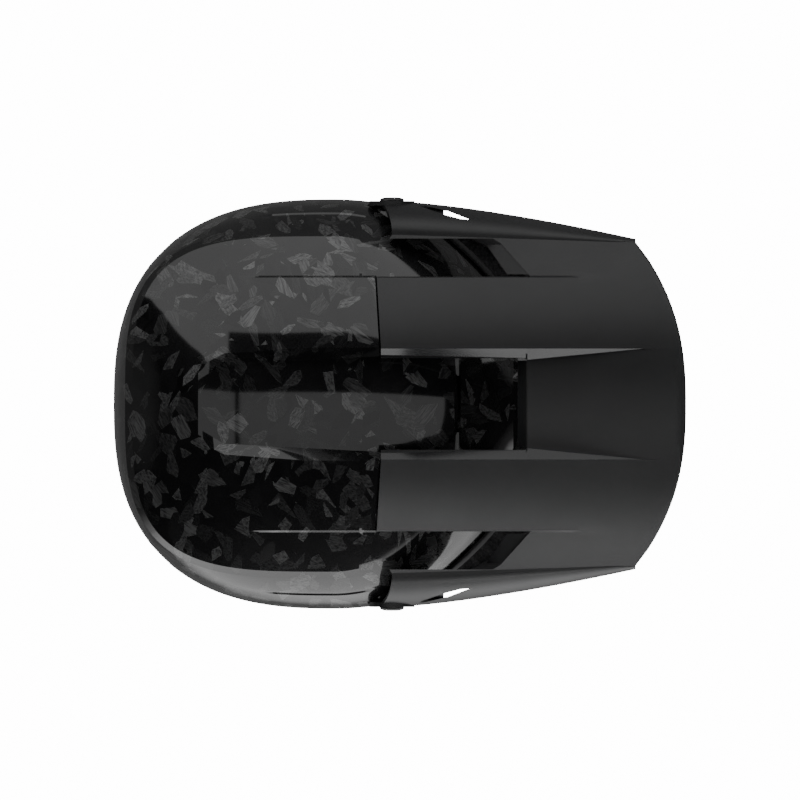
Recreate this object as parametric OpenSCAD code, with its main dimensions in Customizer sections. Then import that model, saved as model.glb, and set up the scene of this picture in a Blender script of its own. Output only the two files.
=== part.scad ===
// Full-face mountain bike helmet.
// +X is the front, +Y the wearer's left and +Z up. The helmet stands on the plane z = 0.

/* [Shell] */
// Half of the shell's greatest width
shell_half_width = 127; // [122:0.5:132]
// Half of the shell's width at its lower rim
rim_half_width = 94; // [88:0.5:100]
// Half of the shell's width at the shoulder crease
shoulder_half_width = 108.5; // [106:0.5:112]
// Width of the bevelled strip between the shoulder crease and the crown
shoulder_strip = 4.5; // [3:0.5:6]
// Reach of the shell behind its widest section
shell_back = 137.6; // [132:0.2:142]
// Reach of the rear crease behind the widest section
shoulder_back = 130.5; // [127:0.5:133]
// Reach of the lower rim behind the widest section
rim_back = 92; // [86:1:98]
// Reach of the chin bar in front of the widest section
chin_fore = 156; // [150:1:162]
// Reach of the chin bar's lower rim in front of the widest section
rim_fore = 145; // [138:1:148]
// Reach of the brow, before it is cut straight, in front of the widest section
brow_fore = 123; // [120:1:127]
// Place of the brow's straight edge, along X
brow_x = 73; // [70:0.5:76]
// Place of the widest section, along X
wide_x = -40; // [-46:1:-34]
// Height of the crown's edge at the sides and the front
side_z = 196; // [190:1:200]
// Height of the crown's edge at the rear
rear_z = 184; // [178:1:190]
// Height of the crown above its edge
crown_rise = 52; // [48:1:56]
// Wall of the shell
shell_wall = 3; // [2.4:0.1:3.6]
// Height of the shell's lower rim above the ground
rim_lift = 3; // [2.5:0.25:4]

/* [Bands and channel] */
// Distance of the bands' inner edges from the middle
band_in = 35; // [33:0.5:37]
// Distance of the bands' outer edges from the middle
band_out = 78.4; // [74:0.2:82]
// Height of the bands at the visor
band_rise = 5; // [4:0.5:6]
// Rear end of the bands
band_start = -104; // [-110:1:-96]
// Half of the channel floor's width at the visor
channel_half = 30.6; // [29:0.2:32]
// Half of the channel floor's width at its rear end
channel_half_back = 24.6; // [22:0.2:27]
// Depth of the channel
channel_depth = 7; // [5:0.5:9]
// Rear end of the channel
channel_back = -125.2; // [-130:0.2:-118]
// Length of the ramp down to the channel's floor
channel_ramp = 24; // [18:1:30]
// Front end of the channel's floor
channel_front = 33.6; // [30:0.2:37]
// Depth of the brow surface in front of the channel
brow_depth = 13; // [11:0.5:15]

/* [Eye port] */
// Height of the eye port's upper edge at the brow
port_top = 166; // [164:1:172]
// Height of the eye port's lower edge on the chin bar
port_bottom = 90; // [86:1:94]
// Height of the eye port's rear corners
port_corner_z = 128; // [122:1:134]
// Turn of the eye port's rear corners from straight ahead, in degrees
port_turn = 66; // [60:1:70]

/* [Visor] */
// Wall of the visor
visor_wall = 2.4; // [2:0.1:2.8]
// Rear edge of the visor at its inner end
visor_back = -12; // [-14:0.5:-10]
// Frontmost reach of the visor
visor_front = 177.4; // [170:0.2:184]
// Gap between the bands and the visor's rear edge
seam_gap = 0.9; // [0.6:0.1:1.4]
// Half of the width of the visor's front edge
visor_half_front = 101; // [96:0.5:104]
// Height of the visor's seats above the shell, at the pivot
boss_rise = 1.8; // [2:0.1:4]
// Gap between the seats and the visor's ears
ear_gap = 1.7; // [1.2:0.1:2.2]
// Thickness of the visor's ears
ear_t = 2.5; // [2:0.1:3.5]
// Height of the pivot
pivot_z = 155; // [151:1:159]
// Place of the pivot, along X
pivot_x = -5; // [-9:1:-1]
// Radius of the visor's ears
ear_r = 14; // [12:0.5:16]
// Depth of the recess between the visor's ribs
panel_depth = 9; // [7:0.5:11]
// Rear edge of the visor's front panel
panel_back = 79; // [74:0.5:84]
// Drop of the visor's front edge below its top
visor_droop = 12; // [8:1:16]

/* [Foam and pads] */
// Thickness of the foam at the crown and the sides
foam = 25; // [22:1:30]
// Thickness of the comfort pads
pad = 8; // [6:0.5:10]
// Half of the clear width between the cheek pads
cheek_gap = 62; // [58:1:66]
// Clearance between neighbouring layers
layer_gap = 0.4; // [0.3:0.05:0.5]

/* [Fasteners] */
// Radius of the inserts' barrels, on which the visor turns
barrel_r = 4; // [3.5:0.25:4.5]
// Running clearance of the visor's bushes on the barrels
turn_gap = 0.08; // [0.05:0.01:0.1]
// Radius of the visor screws' shanks
screw_r = 2.5; // [2:0.25:2.8]
// Radius of the visor screws' heads
head_r = 9.5; // [8:0.5:11]
// Width of the strap webbing
strap_w = 25; // [20:1:28]
// Thickness of the strap webbing
strap_t = 1.6; // [1.2:0.1:2]
// Radius of the D-rings' wire
ring_r = 1.5; // [1.25:0.05:1.75]

/* [Hidden] */

carbon = "#1c1d1f";
matte = "#2b2c2e";
foam_grey = "#3a3b3d";
cloth = "#26272b";
rubber = "#151515";
steel = "#8d9094";

// Levels of the side wall, from 0 at the ground to 1 at the shoulder crease
wide_t = 0.7;
chin_t = 0.42;
cap_t = 0.9;
strip_t = 0.967;
rings = [0.1, 0.25, chin_t, 0.56, wide_t, 0.84, cap_t, strip_t];
// Share of the crown's half width at which its corners lie
corner_share = 0.885;
// Depths of the layers under the shell's outer face
liner_d = shell_wall + layer_gap;
cavity_d = shell_wall + foam;
pad_d = cavity_d + layer_gap;

function spow(v, e) = sign(v) * pow(abs(v), e);
function mix(a, b, f) = a + (b - a) * f;
function clamp01(v) = min(1, max(0, v));
function smooth(v) = let (c = clamp01(v)) c * c * (3 - 2 * c);
function flat(lists) = [for (l = lists) for (v = l) v];

// A reach that swells from the rim to its widest level, and draws in to the shoulder and its strip
function swell(t, peak, low, most, high, e_low, e_high) =
    t < peak
        ? most - (most - low) * pow((peak - t) / peak, e_low)
        : most - (most - high) * pow((min(t, strip_t) - peak) / (strip_t - peak), e_high)
            - shoulder_strip * max(0, t - strip_t) / (1 - strip_t);
function half_at(t) = swell(t, wide_t, rim_half_width, shell_half_width, shoulder_half_width, 2.1, 2);
function back_at(t) = swell(t, wide_t, rim_back, shell_back, shoulder_back, 1.9, 2);
function fore_at(t) = swell(t, chin_t, rim_fore, chin_fore, brow_fore, 2, 0.9);
function n_back(t) = 2.58 + 1.04 * pow(clamp01((t - wide_t) / (1 - wide_t)), 2);
function n_fore(t) = 2.35 - 0.7 * clamp01((t - chin_t) / (1 - chin_t));
function cap_at(t) = brow_x + 260 * max(0, cap_t - t) - 0.6 * shoulder_strip * max(0, t - strip_t) / (1 - strip_t);

// Point of the outline at level t and turn q, drawn in by d
function outline(q, t, d) =
    let (c = cos(q), s = sin(q))
    let (n = c < 0 ? n_back(t) : n_fore(t))
    let (a = (c < 0 ? back_at(t) : fore_at(t)) - d)
    [min(wide_x + a * spow(c, 2 / n), cap_at(t) - d), (half_at(t) - d) * spow(s, 2 / n)];

// Height of the smooth crown over a point
function dome(x, y, d) =
    let (behind = x < wide_x, n = behind ? n_back(1) : n_fore(1))
    let (u = min(1, abs(x - wide_x) / ((behind ? back_at(1) : fore_at(1)) - d)))
    let (w = (half_at(1) - d) * pow(1 - pow(u, n), 1 / n))
    let (v = w < 0.01 ? 1 : min(1, abs(y) / w))
    let (edge = behind ? mix(side_z, rear_z, pow(u, n)) : side_z)
    edge - d + crown_rise * (1 - pow(u, 2.6)) * (1 - pow(v, 2.05));

// Half widths of the channel at its floor and at its rim
function floor_half(x) =
    x < channel_back + 16
        ? mix(15, channel_half_back, clamp01((x - channel_back) / 16))
        : mix(channel_half_back, channel_half, clamp01((x - channel_back - 16) / 112));
function rim_half(x) =
    x < channel_back + 16
        ? mix(23, band_in - 3.7, clamp01((x - channel_back) / 16))
        : band_in - 3.7 * (1 - clamp01((x - channel_back - 16) / 50));

// Height of the raised bands and depth of the channel, on the crown line k
function band_at(x) = band_rise * smooth((x - band_start) / 70);
function seam_x(y) = visor_back - seam_gap - 0.06 * max(0, abs(y) - band_in);
function relief(x, y, k) =
    k <= floor_line
        ? (x > channel_front + 0.5 ? -brow_depth
            : let (r = clamp01((x - channel_back) / channel_ramp)) -channel_depth * r * (2 - r))
        : k <= band_line && x <= seam_x(y) + 0.01 ? band_at(x) : 0;

// Turn of the crown's edge at a given y, behind and in front, and at a given x
function turn_back(y, d) = 180 - asin(pow(y / (half_at(1) - d), n_back(1) / 2));
function turn_fore(y, d) = asin(pow(y / (half_at(1) - d), n_fore(1) / 2));
function turn_side(x, d) =
    x < wide_x
        ? acos(-pow((wide_x - x) / (back_at(1) - d), n_back(1) / 2))
        : acos(pow((x - wide_x) / (fore_at(1) - d), n_fore(1) / 2));
function edge_back(y, d) = outline(turn_back(y, d), 1, d).x;
function edge_fore(y, d) = outline(turn_fore(y, d), 1, d).x;

// Lines that run along X on each half of the crown, and stations along X on its middle line
function crown_line(k, x, d) =
    k == 1 ? floor_half(x)
    : k == 2 ? rim_half(x)
    : [0, 0, 0, 57, band_out, band_out + 1.2, 0, corner_share * (half_at(1) - d)][k];
floor_line = 1;
band_line = 4;
last_line = 7;
function crown_stations(d) =
    let (r = edge_back(0, d), s = visor_back - seam_gap)
    [r, mix(r, channel_back, 0.5), channel_back, channel_back + 8, channel_back + 16, channel_back + channel_ramp,
        -74, -50, -30, s, s + seam_gap, 12, channel_front, channel_front + 1, 54, edge_fore(0, d)];
last_station = 15;
rear_stations = 5;
seam_station = 9;

// Place of a crown point: i counts stations from the rear, k counts lines from the middle
function crown_xy(i, k, d) =
    let (xs = crown_stations(d), x0 = xs[i])
    k == last_line - 1
        ? (i == 0 || i == last_station
            ? let (y = (crown_line(k - 1, x0, d) + crown_line(k + 1, x0, d)) / 2)
                [i == 0 ? edge_back(y, d) : edge_fore(y, d), y]
            : (crown_xy(i, k - 1, d) + crown_xy(i, k + 1, d)) / 2)
        : let (y = crown_line(k, x0, d), s = seam_x(y))
          let (x = i <= rear_stations
                ? let (r = edge_back(y, d))
                    mix(r, xs[rear_stations], (x0 - xs[0]) / (xs[rear_stations] - xs[0]))
                : i < seam_station ? x0
                : i == seam_station ? s
                : mix(s + seam_gap, edge_fore(y, d),
                    (x0 - xs[seam_station + 1]) / (xs[last_station] - xs[seam_station + 1])))
          k == last_line ? [x, outline(turn_side(x, d), 1, d).y] : [x, y];
function crown_pt(i, j, d) =
    let (k = abs(j), p = crown_xy(i, k, d))
    [p.x, j < 0 ? -p.y : p.y, dome(p.x, p.y, d) + relief(p.x, p.y, k)];

// The crown's rim as [i, j] pairs, counter-clockwise from above
rim_ij = [
    for (j = [-last_line:last_line]) [last_station, j],
    for (i = [last_station - 1:-1:1]) [i, last_line],
    for (j = [last_line:-1:-last_line]) [0, j],
    for (i = [1:last_station - 1]) [i, -last_line]];
function rim_turn(ij, d) =
    let (i = ij[0], j = ij[1], p = crown_xy(i, abs(j), d))
    let (q = i == last_station ? turn_fore(p.y, d)
            : i == 0 ? turn_back(p.y, d)
            : turn_side(p.x, d))
    j < 0 ? -q : q;

// The closed body under the crown, drawn in by d, down to the height low
module egg(d, low) {
    w = 2 * last_line + 1;
    top = [for (i = [0:last_station]) for (j = [-last_line:last_line]) crown_pt(i, j, d)];
    turns = [for (r = rim_ij) rim_turn(r, d)];
    n = len(rim_ij);
    function rim_p(k) = top[rim_ij[k][0] * w + rim_ij[k][1] + last_line];
    rim_zs = [for (k = [0:n - 1]) dome(rim_p(k).x, rim_p(k).y, d)];
    walls = [
        for (t = rings) [for (k = [0:n - 1])
            let (p = outline(turns[k], t, d), drop = rim_p(k).z - rim_zs[k])
            [p.x, p.y, t * rim_zs[k] + drop * max(0, t - cap_t) / (1 - cap_t)]]];
    foot = [for (k = [0:n - 1]) let (p = outline(turns[k], low / rim_zs[k], d)) [p.x, p.y, low]];
    rows = concat([foot], walls);
    base = len(top);
    last = len(rows) - 1;
    function rim_index(k) = rim_ij[k % n][0] * w + rim_ij[k % n][1] + last_line;
    function at(r, k) = r > last ? rim_index(k) : base + r * n + k % n;
    points = concat(top, flat(rows), [[0, 0, low]]);
    hub = len(points) - 1;
    crown_faces = [
        for (i = [0:last_station - 1]) for (j = [0:w - 2]) let (a = i * w + j, b = a + w)
            each (j < last_line ? [[a, a + 1, b], [a + 1, b + 1, b]] : [[a, b + 1, b], [a, a + 1, b + 1]])];
    wall_faces = [
        for (r = [0:last]) for (k = [0:n - 1])
            each [[at(r, k), at(r + 1, k), at(r + 1, k + 1)], [at(r, k), at(r + 1, k + 1), at(r, k + 1)]]];
    foot_faces = [for (k = [0:n - 1]) [hub, base + k, base + (k + 1) % n]];
    polyhedron(points, concat(crown_faces, wall_faces, foot_faces));
}

// The smooth hollow for the head, drawn in by d, open through the ground
module hollow(d) {
    step = 12;
    n = 360 / step;
    levels = [-0.04, 0.1, 0.25, 0.42, 0.56, 0.7, 0.85, 1];
    shares = [0.86, 0.68, 0.48, 0.26];
    walls = [for (t = levels) [for (k = [0:n - 1]) let (p = outline(k * step, t, d))
        [p.x, p.y, t * (dome(outline(k * step, 1, d).x, outline(k * step, 1, d).y, d))]]];
    caps = [for (s = shares) [for (k = [0:n - 1])
        let (p = outline(k * step, 1, d), x = mix(wide_x, p.x, s), y = p.y * s) [x, y, dome(x, y, d)]]];
    rows = concat(walls, caps);
    last = len(rows) - 1;
    points = concat(flat(rows), [[wide_x, 0, dome(wide_x, 0, d)], [wide_x, 0, rows[0][0].z]]);
    crown = len(points) - 2;
    hub = len(points) - 1;
    polyhedron(points, concat(
        [for (r = [0:last - 1]) for (k = [0:n - 1]) let (a = r * n + k, b = r * n + (k + 1) % n)
            each [[a, a + n, b + n], [a, b + n, b]]],
        [for (k = [0:n - 1]) [last * n + k, crown, last * n + (k + 1) % n]],
        [for (k = [0:n - 1]) [hub, k, (k + 1) % n]]));
}

// Point of the wall at turn q and height z, drawn in by d
function rim_pt(q, z, d) =
    let (rim = outline(q, 1, d), p = outline(q, z / dome(rim.x, rim.y, d), d)) [p.x, p.y, z];

// Outline of the eye port: a is the place round it, grow widens it and d sinks it below the face
function port_pt(a, grow, d) =
    let (c = spow(cos(a), 0.62), s = spow(sin(a), 0.62))
    let (q = (port_turn + grow / 2.2) * c)
    let (z = mix((port_top + port_bottom) / 2, port_corner_z, abs(c))
            + ((port_top - port_bottom) / 2 + grow) * s)
    rim_pt(q, z, d);
port_steps = 48;
module port_plug(grow) {
    function spread(p, s) = [mix(wide_x, p.x, s), p.y * s, p.z];
    loop = [for (k = [0:port_steps - 1]) port_pt(k * 360 / port_steps, grow, 0)];
    n = port_steps;
    mid_z = (port_top + port_bottom) / 2;
    points = concat([for (p = loop) spread(p, 0.5)], [for (p = loop) spread(p, 1.5)],
        [[wide_x + 60, 0, mid_z], [wide_x + 260, 0, mid_z]]);
    polyhedron(points, concat(
        [for (k = [0:n - 1]) let (m = (k + 1) % n) each [[k, n + k, n + m], [k, n + m, m]]],
        [for (k = [0:n - 1]) [2 * n, k, (k + 1) % n]],
        [for (k = [0:n - 1]) [2 * n + 1, n + (k + 1) % n, n + k]]));
}

// A closed ring swept through sections: each section is a list of points
module ring_sweep(sections) {
    n = len(sections);
    m = len(sections[0]);
    polyhedron(flat(sections), [for (i = [0:n - 1]) for (j = [0:m - 1])
        let (a = i * m + j, b = i * m + (j + 1) % m, c = ((i + 1) % n) * m + j, e = ((i + 1) % n) * m + (j + 1) % m)
        each [[a, c, e], [a, e, b]]]);
}

// A sheet between two grids of points with the same size, closed at its edges
module between(outer, inner) {
    r = len(outer);
    c = len(outer[0]);
    s = r * c;
    function id(i, j) = i * c + j;
    edge = concat(
        [for (j = [0:c - 1]) id(0, j)], [for (i = [1:r - 1]) id(i, c - 1)],
        [for (j = [c - 2:-1:0]) id(r - 1, j)], [for (i = [r - 2:-1:1]) id(i, 0)]);
    polyhedron(concat(flat(outer), flat(inner)), concat(
        [for (i = [0:r - 2]) for (j = [0:c - 2])
            each [[id(i, j), id(i + 1, j), id(i + 1, j + 1)], [id(i, j), id(i + 1, j + 1), id(i, j + 1)]]],
        [for (i = [0:r - 2]) for (j = [0:c - 2])
            each [[s + id(i, j), s + id(i + 1, j + 1), s + id(i + 1, j)],
                [s + id(i, j), s + id(i, j + 1), s + id(i + 1, j + 1)]]],
        [for (k = [0:len(edge) - 1]) let (a = edge[k], b = edge[(k + 1) % len(edge)])
            each [[a, b, s + b], [a, s + b, s + a]]]));
}

module mirrored() {
    children();
    mirror([0, 1, 0]) children();
}

// Visor: height of its smooth top, and its lines
function visor_top(x, y) =
    let (rise = x < 60 ? 3 * smooth((x - visor_back) / 72) : 3 - (visor_droop + 3) * pow((x - 60) / 117, 1.8))
    let (camber = (crown_rise - 1) * pow(abs(y) / 101, 2.05) * mix(1, 0.78, clamp01((x - visor_back) / 189)))
    side_z + crown_rise - 1.2 + band_rise + rise - camber;
function visor_edge(y) = visor_front - 0.000305 * pow(abs(y), 2.5);
function foot_y(x) =
    x < panel_back
        ? mix(30.4, 28.5, clamp01((x - visor_back) / (panel_back - visor_back)))
        : mix(27.4, band_in - 0.7, clamp01((x - panel_back) / 74));
function sink(x) =
    panel_depth * (1 - 0.34 * (1 - smooth((x - visor_back) / 26))) * (1 - smooth((x - panel_back) / 84));
function side_drop(x) = (band_rise - 1.8) * (1 - smooth((x - 60) / 80));
function wing_y(x) = mix(105, 100.4, clamp01((x - pivot_x) / 140));
visor_stations = [visor_back, 0, 16, 32, 48, 64, panel_back - 1, panel_back, 92, 106, 120, 134, 148, 162, visor_front];
visor_lines = 13;
wing_first = 9;
visor_last = len(visor_stations) - 1;
function wing_low(x) =
    let (f = clamp01((x - pivot_x) / 155))
    [mix(visor_half_ear, visor_half_front + 0.6, pow(f, 1.4)), mix(pivot_z - 8, side_z, f)];
function visor_pt(i, j) =
    let (k = abs(j), side = sign(j), x0 = visor_stations[i], span = visor_front - visor_back)
    k < wing_first
        ? let (ys = [0, 14, foot_y(x0), band_in - 0.6, 49, 64, band_out, band_out + 1.2, 90])
          let (y = ys[k], start = seam_x(y) + seam_gap + 0.2, front = visor_edge(y))
          let (x = i == visor_last ? front : min(mix(start, x0, clamp01((x0 - visor_back) / 12)), front - 4 * (visor_last - i)))
          let (drop = k < 3 ? sink(x0) : k > 6 ? side_drop(x0) : 0)
          [x, side * y, visor_top(x, y) - drop]
        : let (s = (k - wing_first) / (visor_lines - wing_first))
          let (start = pivot_x + mix(0, -11, s * s), front = visor_edge(visor_half_front))
          let (x = mix(start, front, (x0 - visor_back) / span))
          let (low = wing_low(x), y0 = wing_y(x), z0 = visor_top(x, y0) - side_drop(x))
          [x, side * mix(y0, low.x, sin(90 * s)), mix(z0, low.y, 1 - cos(90 * s))];

// The same point on the visor's underside
visor_shift = [0, 0, 1.4, 1.4, 0, 0, -1.5, -0.3, 0];
function visor_under(i, j) =
    let (k = abs(j), side = sign(j), p = visor_pt(i, j))
    k < wing_first
        ? p + [0, side * visor_shift[k], -visor_wall * 1.08]
        : let (lean = mix(32, 90, (k - wing_first) / (visor_lines - wing_first)))
          p - visor_wall * [0, side * sin(lean), cos(lean)];

module side_opening() {
    hull() for (z = [side_z - 26, side_z + crown_rise + 40], p = [[-30, band_out + 0.6],
            [-30, visor_half_front + 1.8], [panel_back + 2, band_out + 0.6], [panel_back - 17, visor_half_front + 1.6]])
        translate([p.x, p.y, z]) cube(0.1);
}
module wing_slot() {
    hull() for (p = [[18, 0], [50, 15]]) translate([pivot_x + p.x, visor_half_ear - 36, pivot_z + 13 + p.y])
        rotate([-90, 0, 0]) cylinder(h = 60, r = 5.2 - p.x / 22, $fn = 16);
}
module visor() {
    skin = [for (i = [0:visor_last]) [for (j = [-visor_lines:visor_lines]) visor_pt(i, j)]];
    underside = [for (i = [0:visor_last]) [for (j = [-visor_lines:visor_lines]) visor_under(i, j)]];
    color(matte)
    difference() {
        union() {
            between(underside, skin);
            mirrored() hull() {
                on_pivot() translate([0, 0, ear_in]) cylinder(h = ear_out - ear_in, r = ear_r, $fn = 40);
                translate([pivot_x + 4, ear_in - 0.6, pivot_z + 14]) cube([18, ear_out - ear_in, 6]);
            }
        }
        hull() for (x = [visor_back - 28, panel_back - 2.4], y = [-1, 1])
            translate([x, y * (channel_half - 4.6), side_z - 16]) cylinder(h = crown_rise + 60, r = 2.4, $fn = 16);
        mirrored() side_opening();
        mirrored() wing_slot();
        mirrored() hull() on_pivot() translate([0, 0, ear_in - 3]) cylinder(h = 12, r = barrel_r + 2.15, $fn = 48);
    }
}

// Point of the side wall at a given x and height, on the wearer's left
function side_pt(x, z, d) =
    let (t = z / (side_z - d), behind = x < wide_x, n = behind ? n_back(t) : n_fore(t))
    let (a = (behind ? back_at(t) : fore_at(t)) - d)
    [x, (half_at(t) - d) * pow(1 - pow(abs(x - wide_x) / a, n), 1 / n), z];
// Point of the front wall at a given y and height
function front_pt(y, z, d) =
    let (t = z / (side_z - d), n = n_fore(t))
    [wide_x + (fore_at(t) - d) * pow(1 - pow(abs(y) / (half_at(t) - d), n), 1 / n), y, z];

// Slot with round ends, drawn along +X: its half width, half height and corner radius
module slot_bar(x0, x1, half_w, half_h, r) {
    hull() for (y = [-1, 1], z = [-1, 1])
        translate([x0, y * (half_w - r), z * (half_h - r)]) rotate([0, 90, 0]) cylinder(h = x1 - x0, r = r, $fn = 16);
}

// Air ways, cut through the shell and the foam
module tongue_vent(grow) {
    z = dome(channel_front, 0, 0) - channel_depth - shell_wall - 0.4;
    hull() {
        translate([channel_front - 12, -24 - grow, z - 7]) cube([16 + grow, 48 + 2 * grow, 7]);
        translate([channel_front - 42, -16 - grow, z - 32]) cube([14, 32 + 2 * grow, 10]);
    }
    mirrored() hull() for (p = [[channel_front - 9.5, 29.6], [channel_front + 0.2, 17.6],
            [channel_front + 3, 17.6], [channel_front + 3, 29.6]])
        translate([p.x, p.y, z - 10]) cylinder(h = 24, r = 0.3, $fn = 8);
}
module brow_vents(grow) {
    mirrored() for (y = [band_in + 10, band_in + 31]) hull() for (x = [20, 44 - (y - band_in - 10) * 0.5])
        translate([x, y, side_z - 76]) cylinder(h = crown_rise + 90, r = 5 + grow, $fn = 14);
}
module rear_vent_frame() {
    p = side_pt(-148, 132, 0);
    translate(p) rotate([0, 0, 146]) children();
}
module rear_vents(grow) {
    mirrored() rear_vent_frame() slot_bar(-60, 20, 8 + grow, 17 + grow, 7);
}
chin_vent_z = 50;
chin_vent_w = 32;
chin_vent_h = 15;
module chin_vents(grow) {
    translate([0, 0, chin_vent_z]) slot_bar(60, 140, chin_vent_w + grow, chin_vent_h + grow, 8);
    mirrored() for (k = [0, 1]) let (p = side_pt(86 - 22 * k, 52, 0))
        translate(p) rotate([0, 0, 42 + 12 * k]) rotate([18, 0, 0]) slot_bar(-60, 20, 5 + grow, 13 + grow, 4.5);
}
module air_ways(grow) {
    tongue_vent(grow);
    brow_vents(grow);
    rear_vents(grow);
    chin_vents(grow);
}

// The pivot, with +Z along the wearer's left
boss_face = side_pt(pivot_x, pivot_z, 0).y + boss_rise;
boss_r = 9.5;
ear_in = boss_face + ear_gap;
ear_out = ear_in + ear_t;
visor_half_ear = ear_out + 0.4;
head_under = visor_half_ear + 0.25;
module on_pivot() {
    translate([pivot_x, 0, pivot_z]) rotate([-90, 0, 0]) children();
}
module outer_shell() {
    color(carbon)
    difference() {
        union() {
            egg(0, rim_lift);
            mirrored() on_pivot() translate([0, 0, boss_face - 14]) cylinder(h = 14, r1 = boss_r + 6, r2 = boss_r, $fn = 40);
        }
        egg(shell_wall, -5);
        mirrored() on_pivot() translate([0, 0, ear_in - 0.5]) cylinder(h = 12, r = ear_r + 1.2, $fn = 40);
        port_plug(0);
        air_ways(0);
        mirrored() on_pivot() translate([0, 0, boss_face - 31]) cylinder(h = 50, r = barrel_r + 0.6, $fn = 32);
    }
}

// Foam liners, parted below the eye port and round the head at the port's rear corners
chin_cut_x = 22;
chin_cut_z = 98;
side_cut_z = 136;
module foam_body() {
    difference() {
        egg(liner_d, rim_lift + 0.3);
        hollow(cavity_d);
        port_plug(3.4);
        air_ways(0.8);
        mirrored() on_pivot() translate([0, 0, boss_face - 41]) cylinder(h = 60, r = 10, $fn = 24);
        mirrored() strap_frame() rotate([-90, 0, 0]) translate([0, 0, -6]) cylinder(h = 16, r = 2.8, $fn = 16);
    }
}
module crown_liner() {
    color(foam_grey)
    intersection() {
        foam_body();
        translate([-2 * shell_back, -shell_half_width, side_cut_z])
            cube([4 * shell_back, 2 * shell_half_width, side_z]);
    }
}
module side_liner() {
    color(foam_grey)
    difference() {
        foam_body();
        translate([chin_cut_x, -shell_half_width, -10]) cube([chin_fore, 2 * shell_half_width, chin_cut_z + 10]);
        translate([-2 * shell_back, -shell_half_width, side_cut_z - layer_gap])
            cube([4 * shell_back, 2 * shell_half_width, side_z]);
    }
}
module chin_liner() {
    color(foam_grey)
    intersection() {
        foam_body();
        translate([chin_cut_x + layer_gap, -shell_half_width, -10])
            cube([chin_fore, 2 * shell_half_width, chin_cut_z + 10 - layer_gap]);
    }
}

// Rubber edgings
module eye_port_edging() {
    w = shell_wall;
    profile = [[-1.9, -1.9], [4, -1.9], [4, -0.8], [-0.7, -0.8], [-0.7, w + 0.9], [2.2, w + 0.9], [2.2, w + 2], [-1.9, w + 2]];
    color(rubber) ring_sweep([for (k = [0:port_steps - 1]) [for (p = profile) port_pt(k * 360 / port_steps, p[0], p[1])]]);
}
module base_edging() {
    profile = [[-1.5, 0], [14, 0], [14, rim_lift - 0.1], [-0.35, rim_lift - 0.1], [-0.35, 9], [-1.5, 9]];
    color(rubber) ring_sweep([for (q = [0:6:354]) [for (p = profile) rim_pt(q, p[1], p[0])]]);
}

// Grilles
module chin_grille() {
    steps = 3;
    reach = chin_vent_w - 1;
    color(matte) union() {
        for (z = [-9, -3, 3, 9]) for (k = [0:steps - 1]) hull() for (m = [k, k + 1])
            translate(front_pt(mix(-reach, reach, m / steps), chin_vent_z + z, 2.4)) cube([2, 1.2, 1.6], center = true);
        for (y = [-16, 16]) hull() for (z = [-13, 13])
            translate(front_pt(y, chin_vent_z + z, 3.4)) cube([2, 1.6, 2], center = true);
        for (k = [0:15]) hull() for (m = [k, k + 1])
            translate(front_pt((chin_vent_w - 1.4) * spow(cos(m * 22.5), 0.5),
                chin_vent_z + (chin_vent_h - 1.4) * spow(sin(m * 22.5), 0.5), 2)) cube([3.4, 2, 2], center = true);
    }
}
module chin_filter() {
    x = front_pt(chin_vent_w, chin_vent_z - chin_vent_h, shell_wall + 7.6).x;
    color(cloth) translate([0, 0, chin_vent_z]) slot_bar(x, x + 5, chin_vent_w + 0.4, chin_vent_h + 0.4, 8);
}
module rear_grille() {
    color(matte) rear_vent_frame() difference() {
        translate([-4, 0, 0]) slot_bar(0, 2.4, 7.6, 16.6, 6.6);
        for (z = [-12:4:12]) translate([-6, -5, z - 1.2]) cube([8, 10, 2.4]);
    }
}
module rear_grille_left() { rear_grille(); }
module rear_grille_right() { mirror([0, 1, 0]) rear_grille(); }

// Pads: fullness of a pad over its face, from 0 at the edges to 1 in the middle
function full(a, b) = 0.12 + 0.88 * pow((1 - pow(abs(2 * a - 1), 5)) * (1 - pow(abs(2 * b - 1), 5)), 0.5);
module dome_pad(x0, x1, half, thick, n, m) {
    back = [for (i = [0:n]) [for (j = [0:m]) let (x = mix(x0, x1, i / n), y = mix(-half, half, j / m)) [x, y, dome(x, y, pad_d + 0.6)]]];
    face = [for (i = [0:n]) [for (j = [0:m]) back[i][j] - [0, 0, thick * full(i / n, j / m)]]];
    color(cloth) between(face, back);
}
module wall_pad(q0, q1, z0, z1, d, thick, n, m) {
    back = [for (i = [0:n]) [for (j = [0:m]) rim_pt(mix(q0, q1, i / n), mix(z1, z0, j / m), d)]];
    face = [for (i = [0:n]) [for (j = [0:m])
        rim_pt(mix(q0, q1, i / n), mix(z1, z0, j / m), d + thick * full(i / n, j / m))]];
    color(cloth) between(back, face);
}
module crown_pad() { dome_pad(wide_x - 72, wide_x + 32, 0.54 * shoulder_half_width, pad, 10, 10); }
module brow_pad() { dome_pad(wide_x + 38, wide_x + 60, 0.44 * shoulder_half_width, pad, 3, 10); }
module rear_pad() { wall_pad(140, 220, 92, 140, pad_d + 1.4, pad + 2, 12, 6); }
module neck_roll() { wall_pad(116, 244, 5, 44, pad_d + 1.4, 14, 18, 6); }

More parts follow.
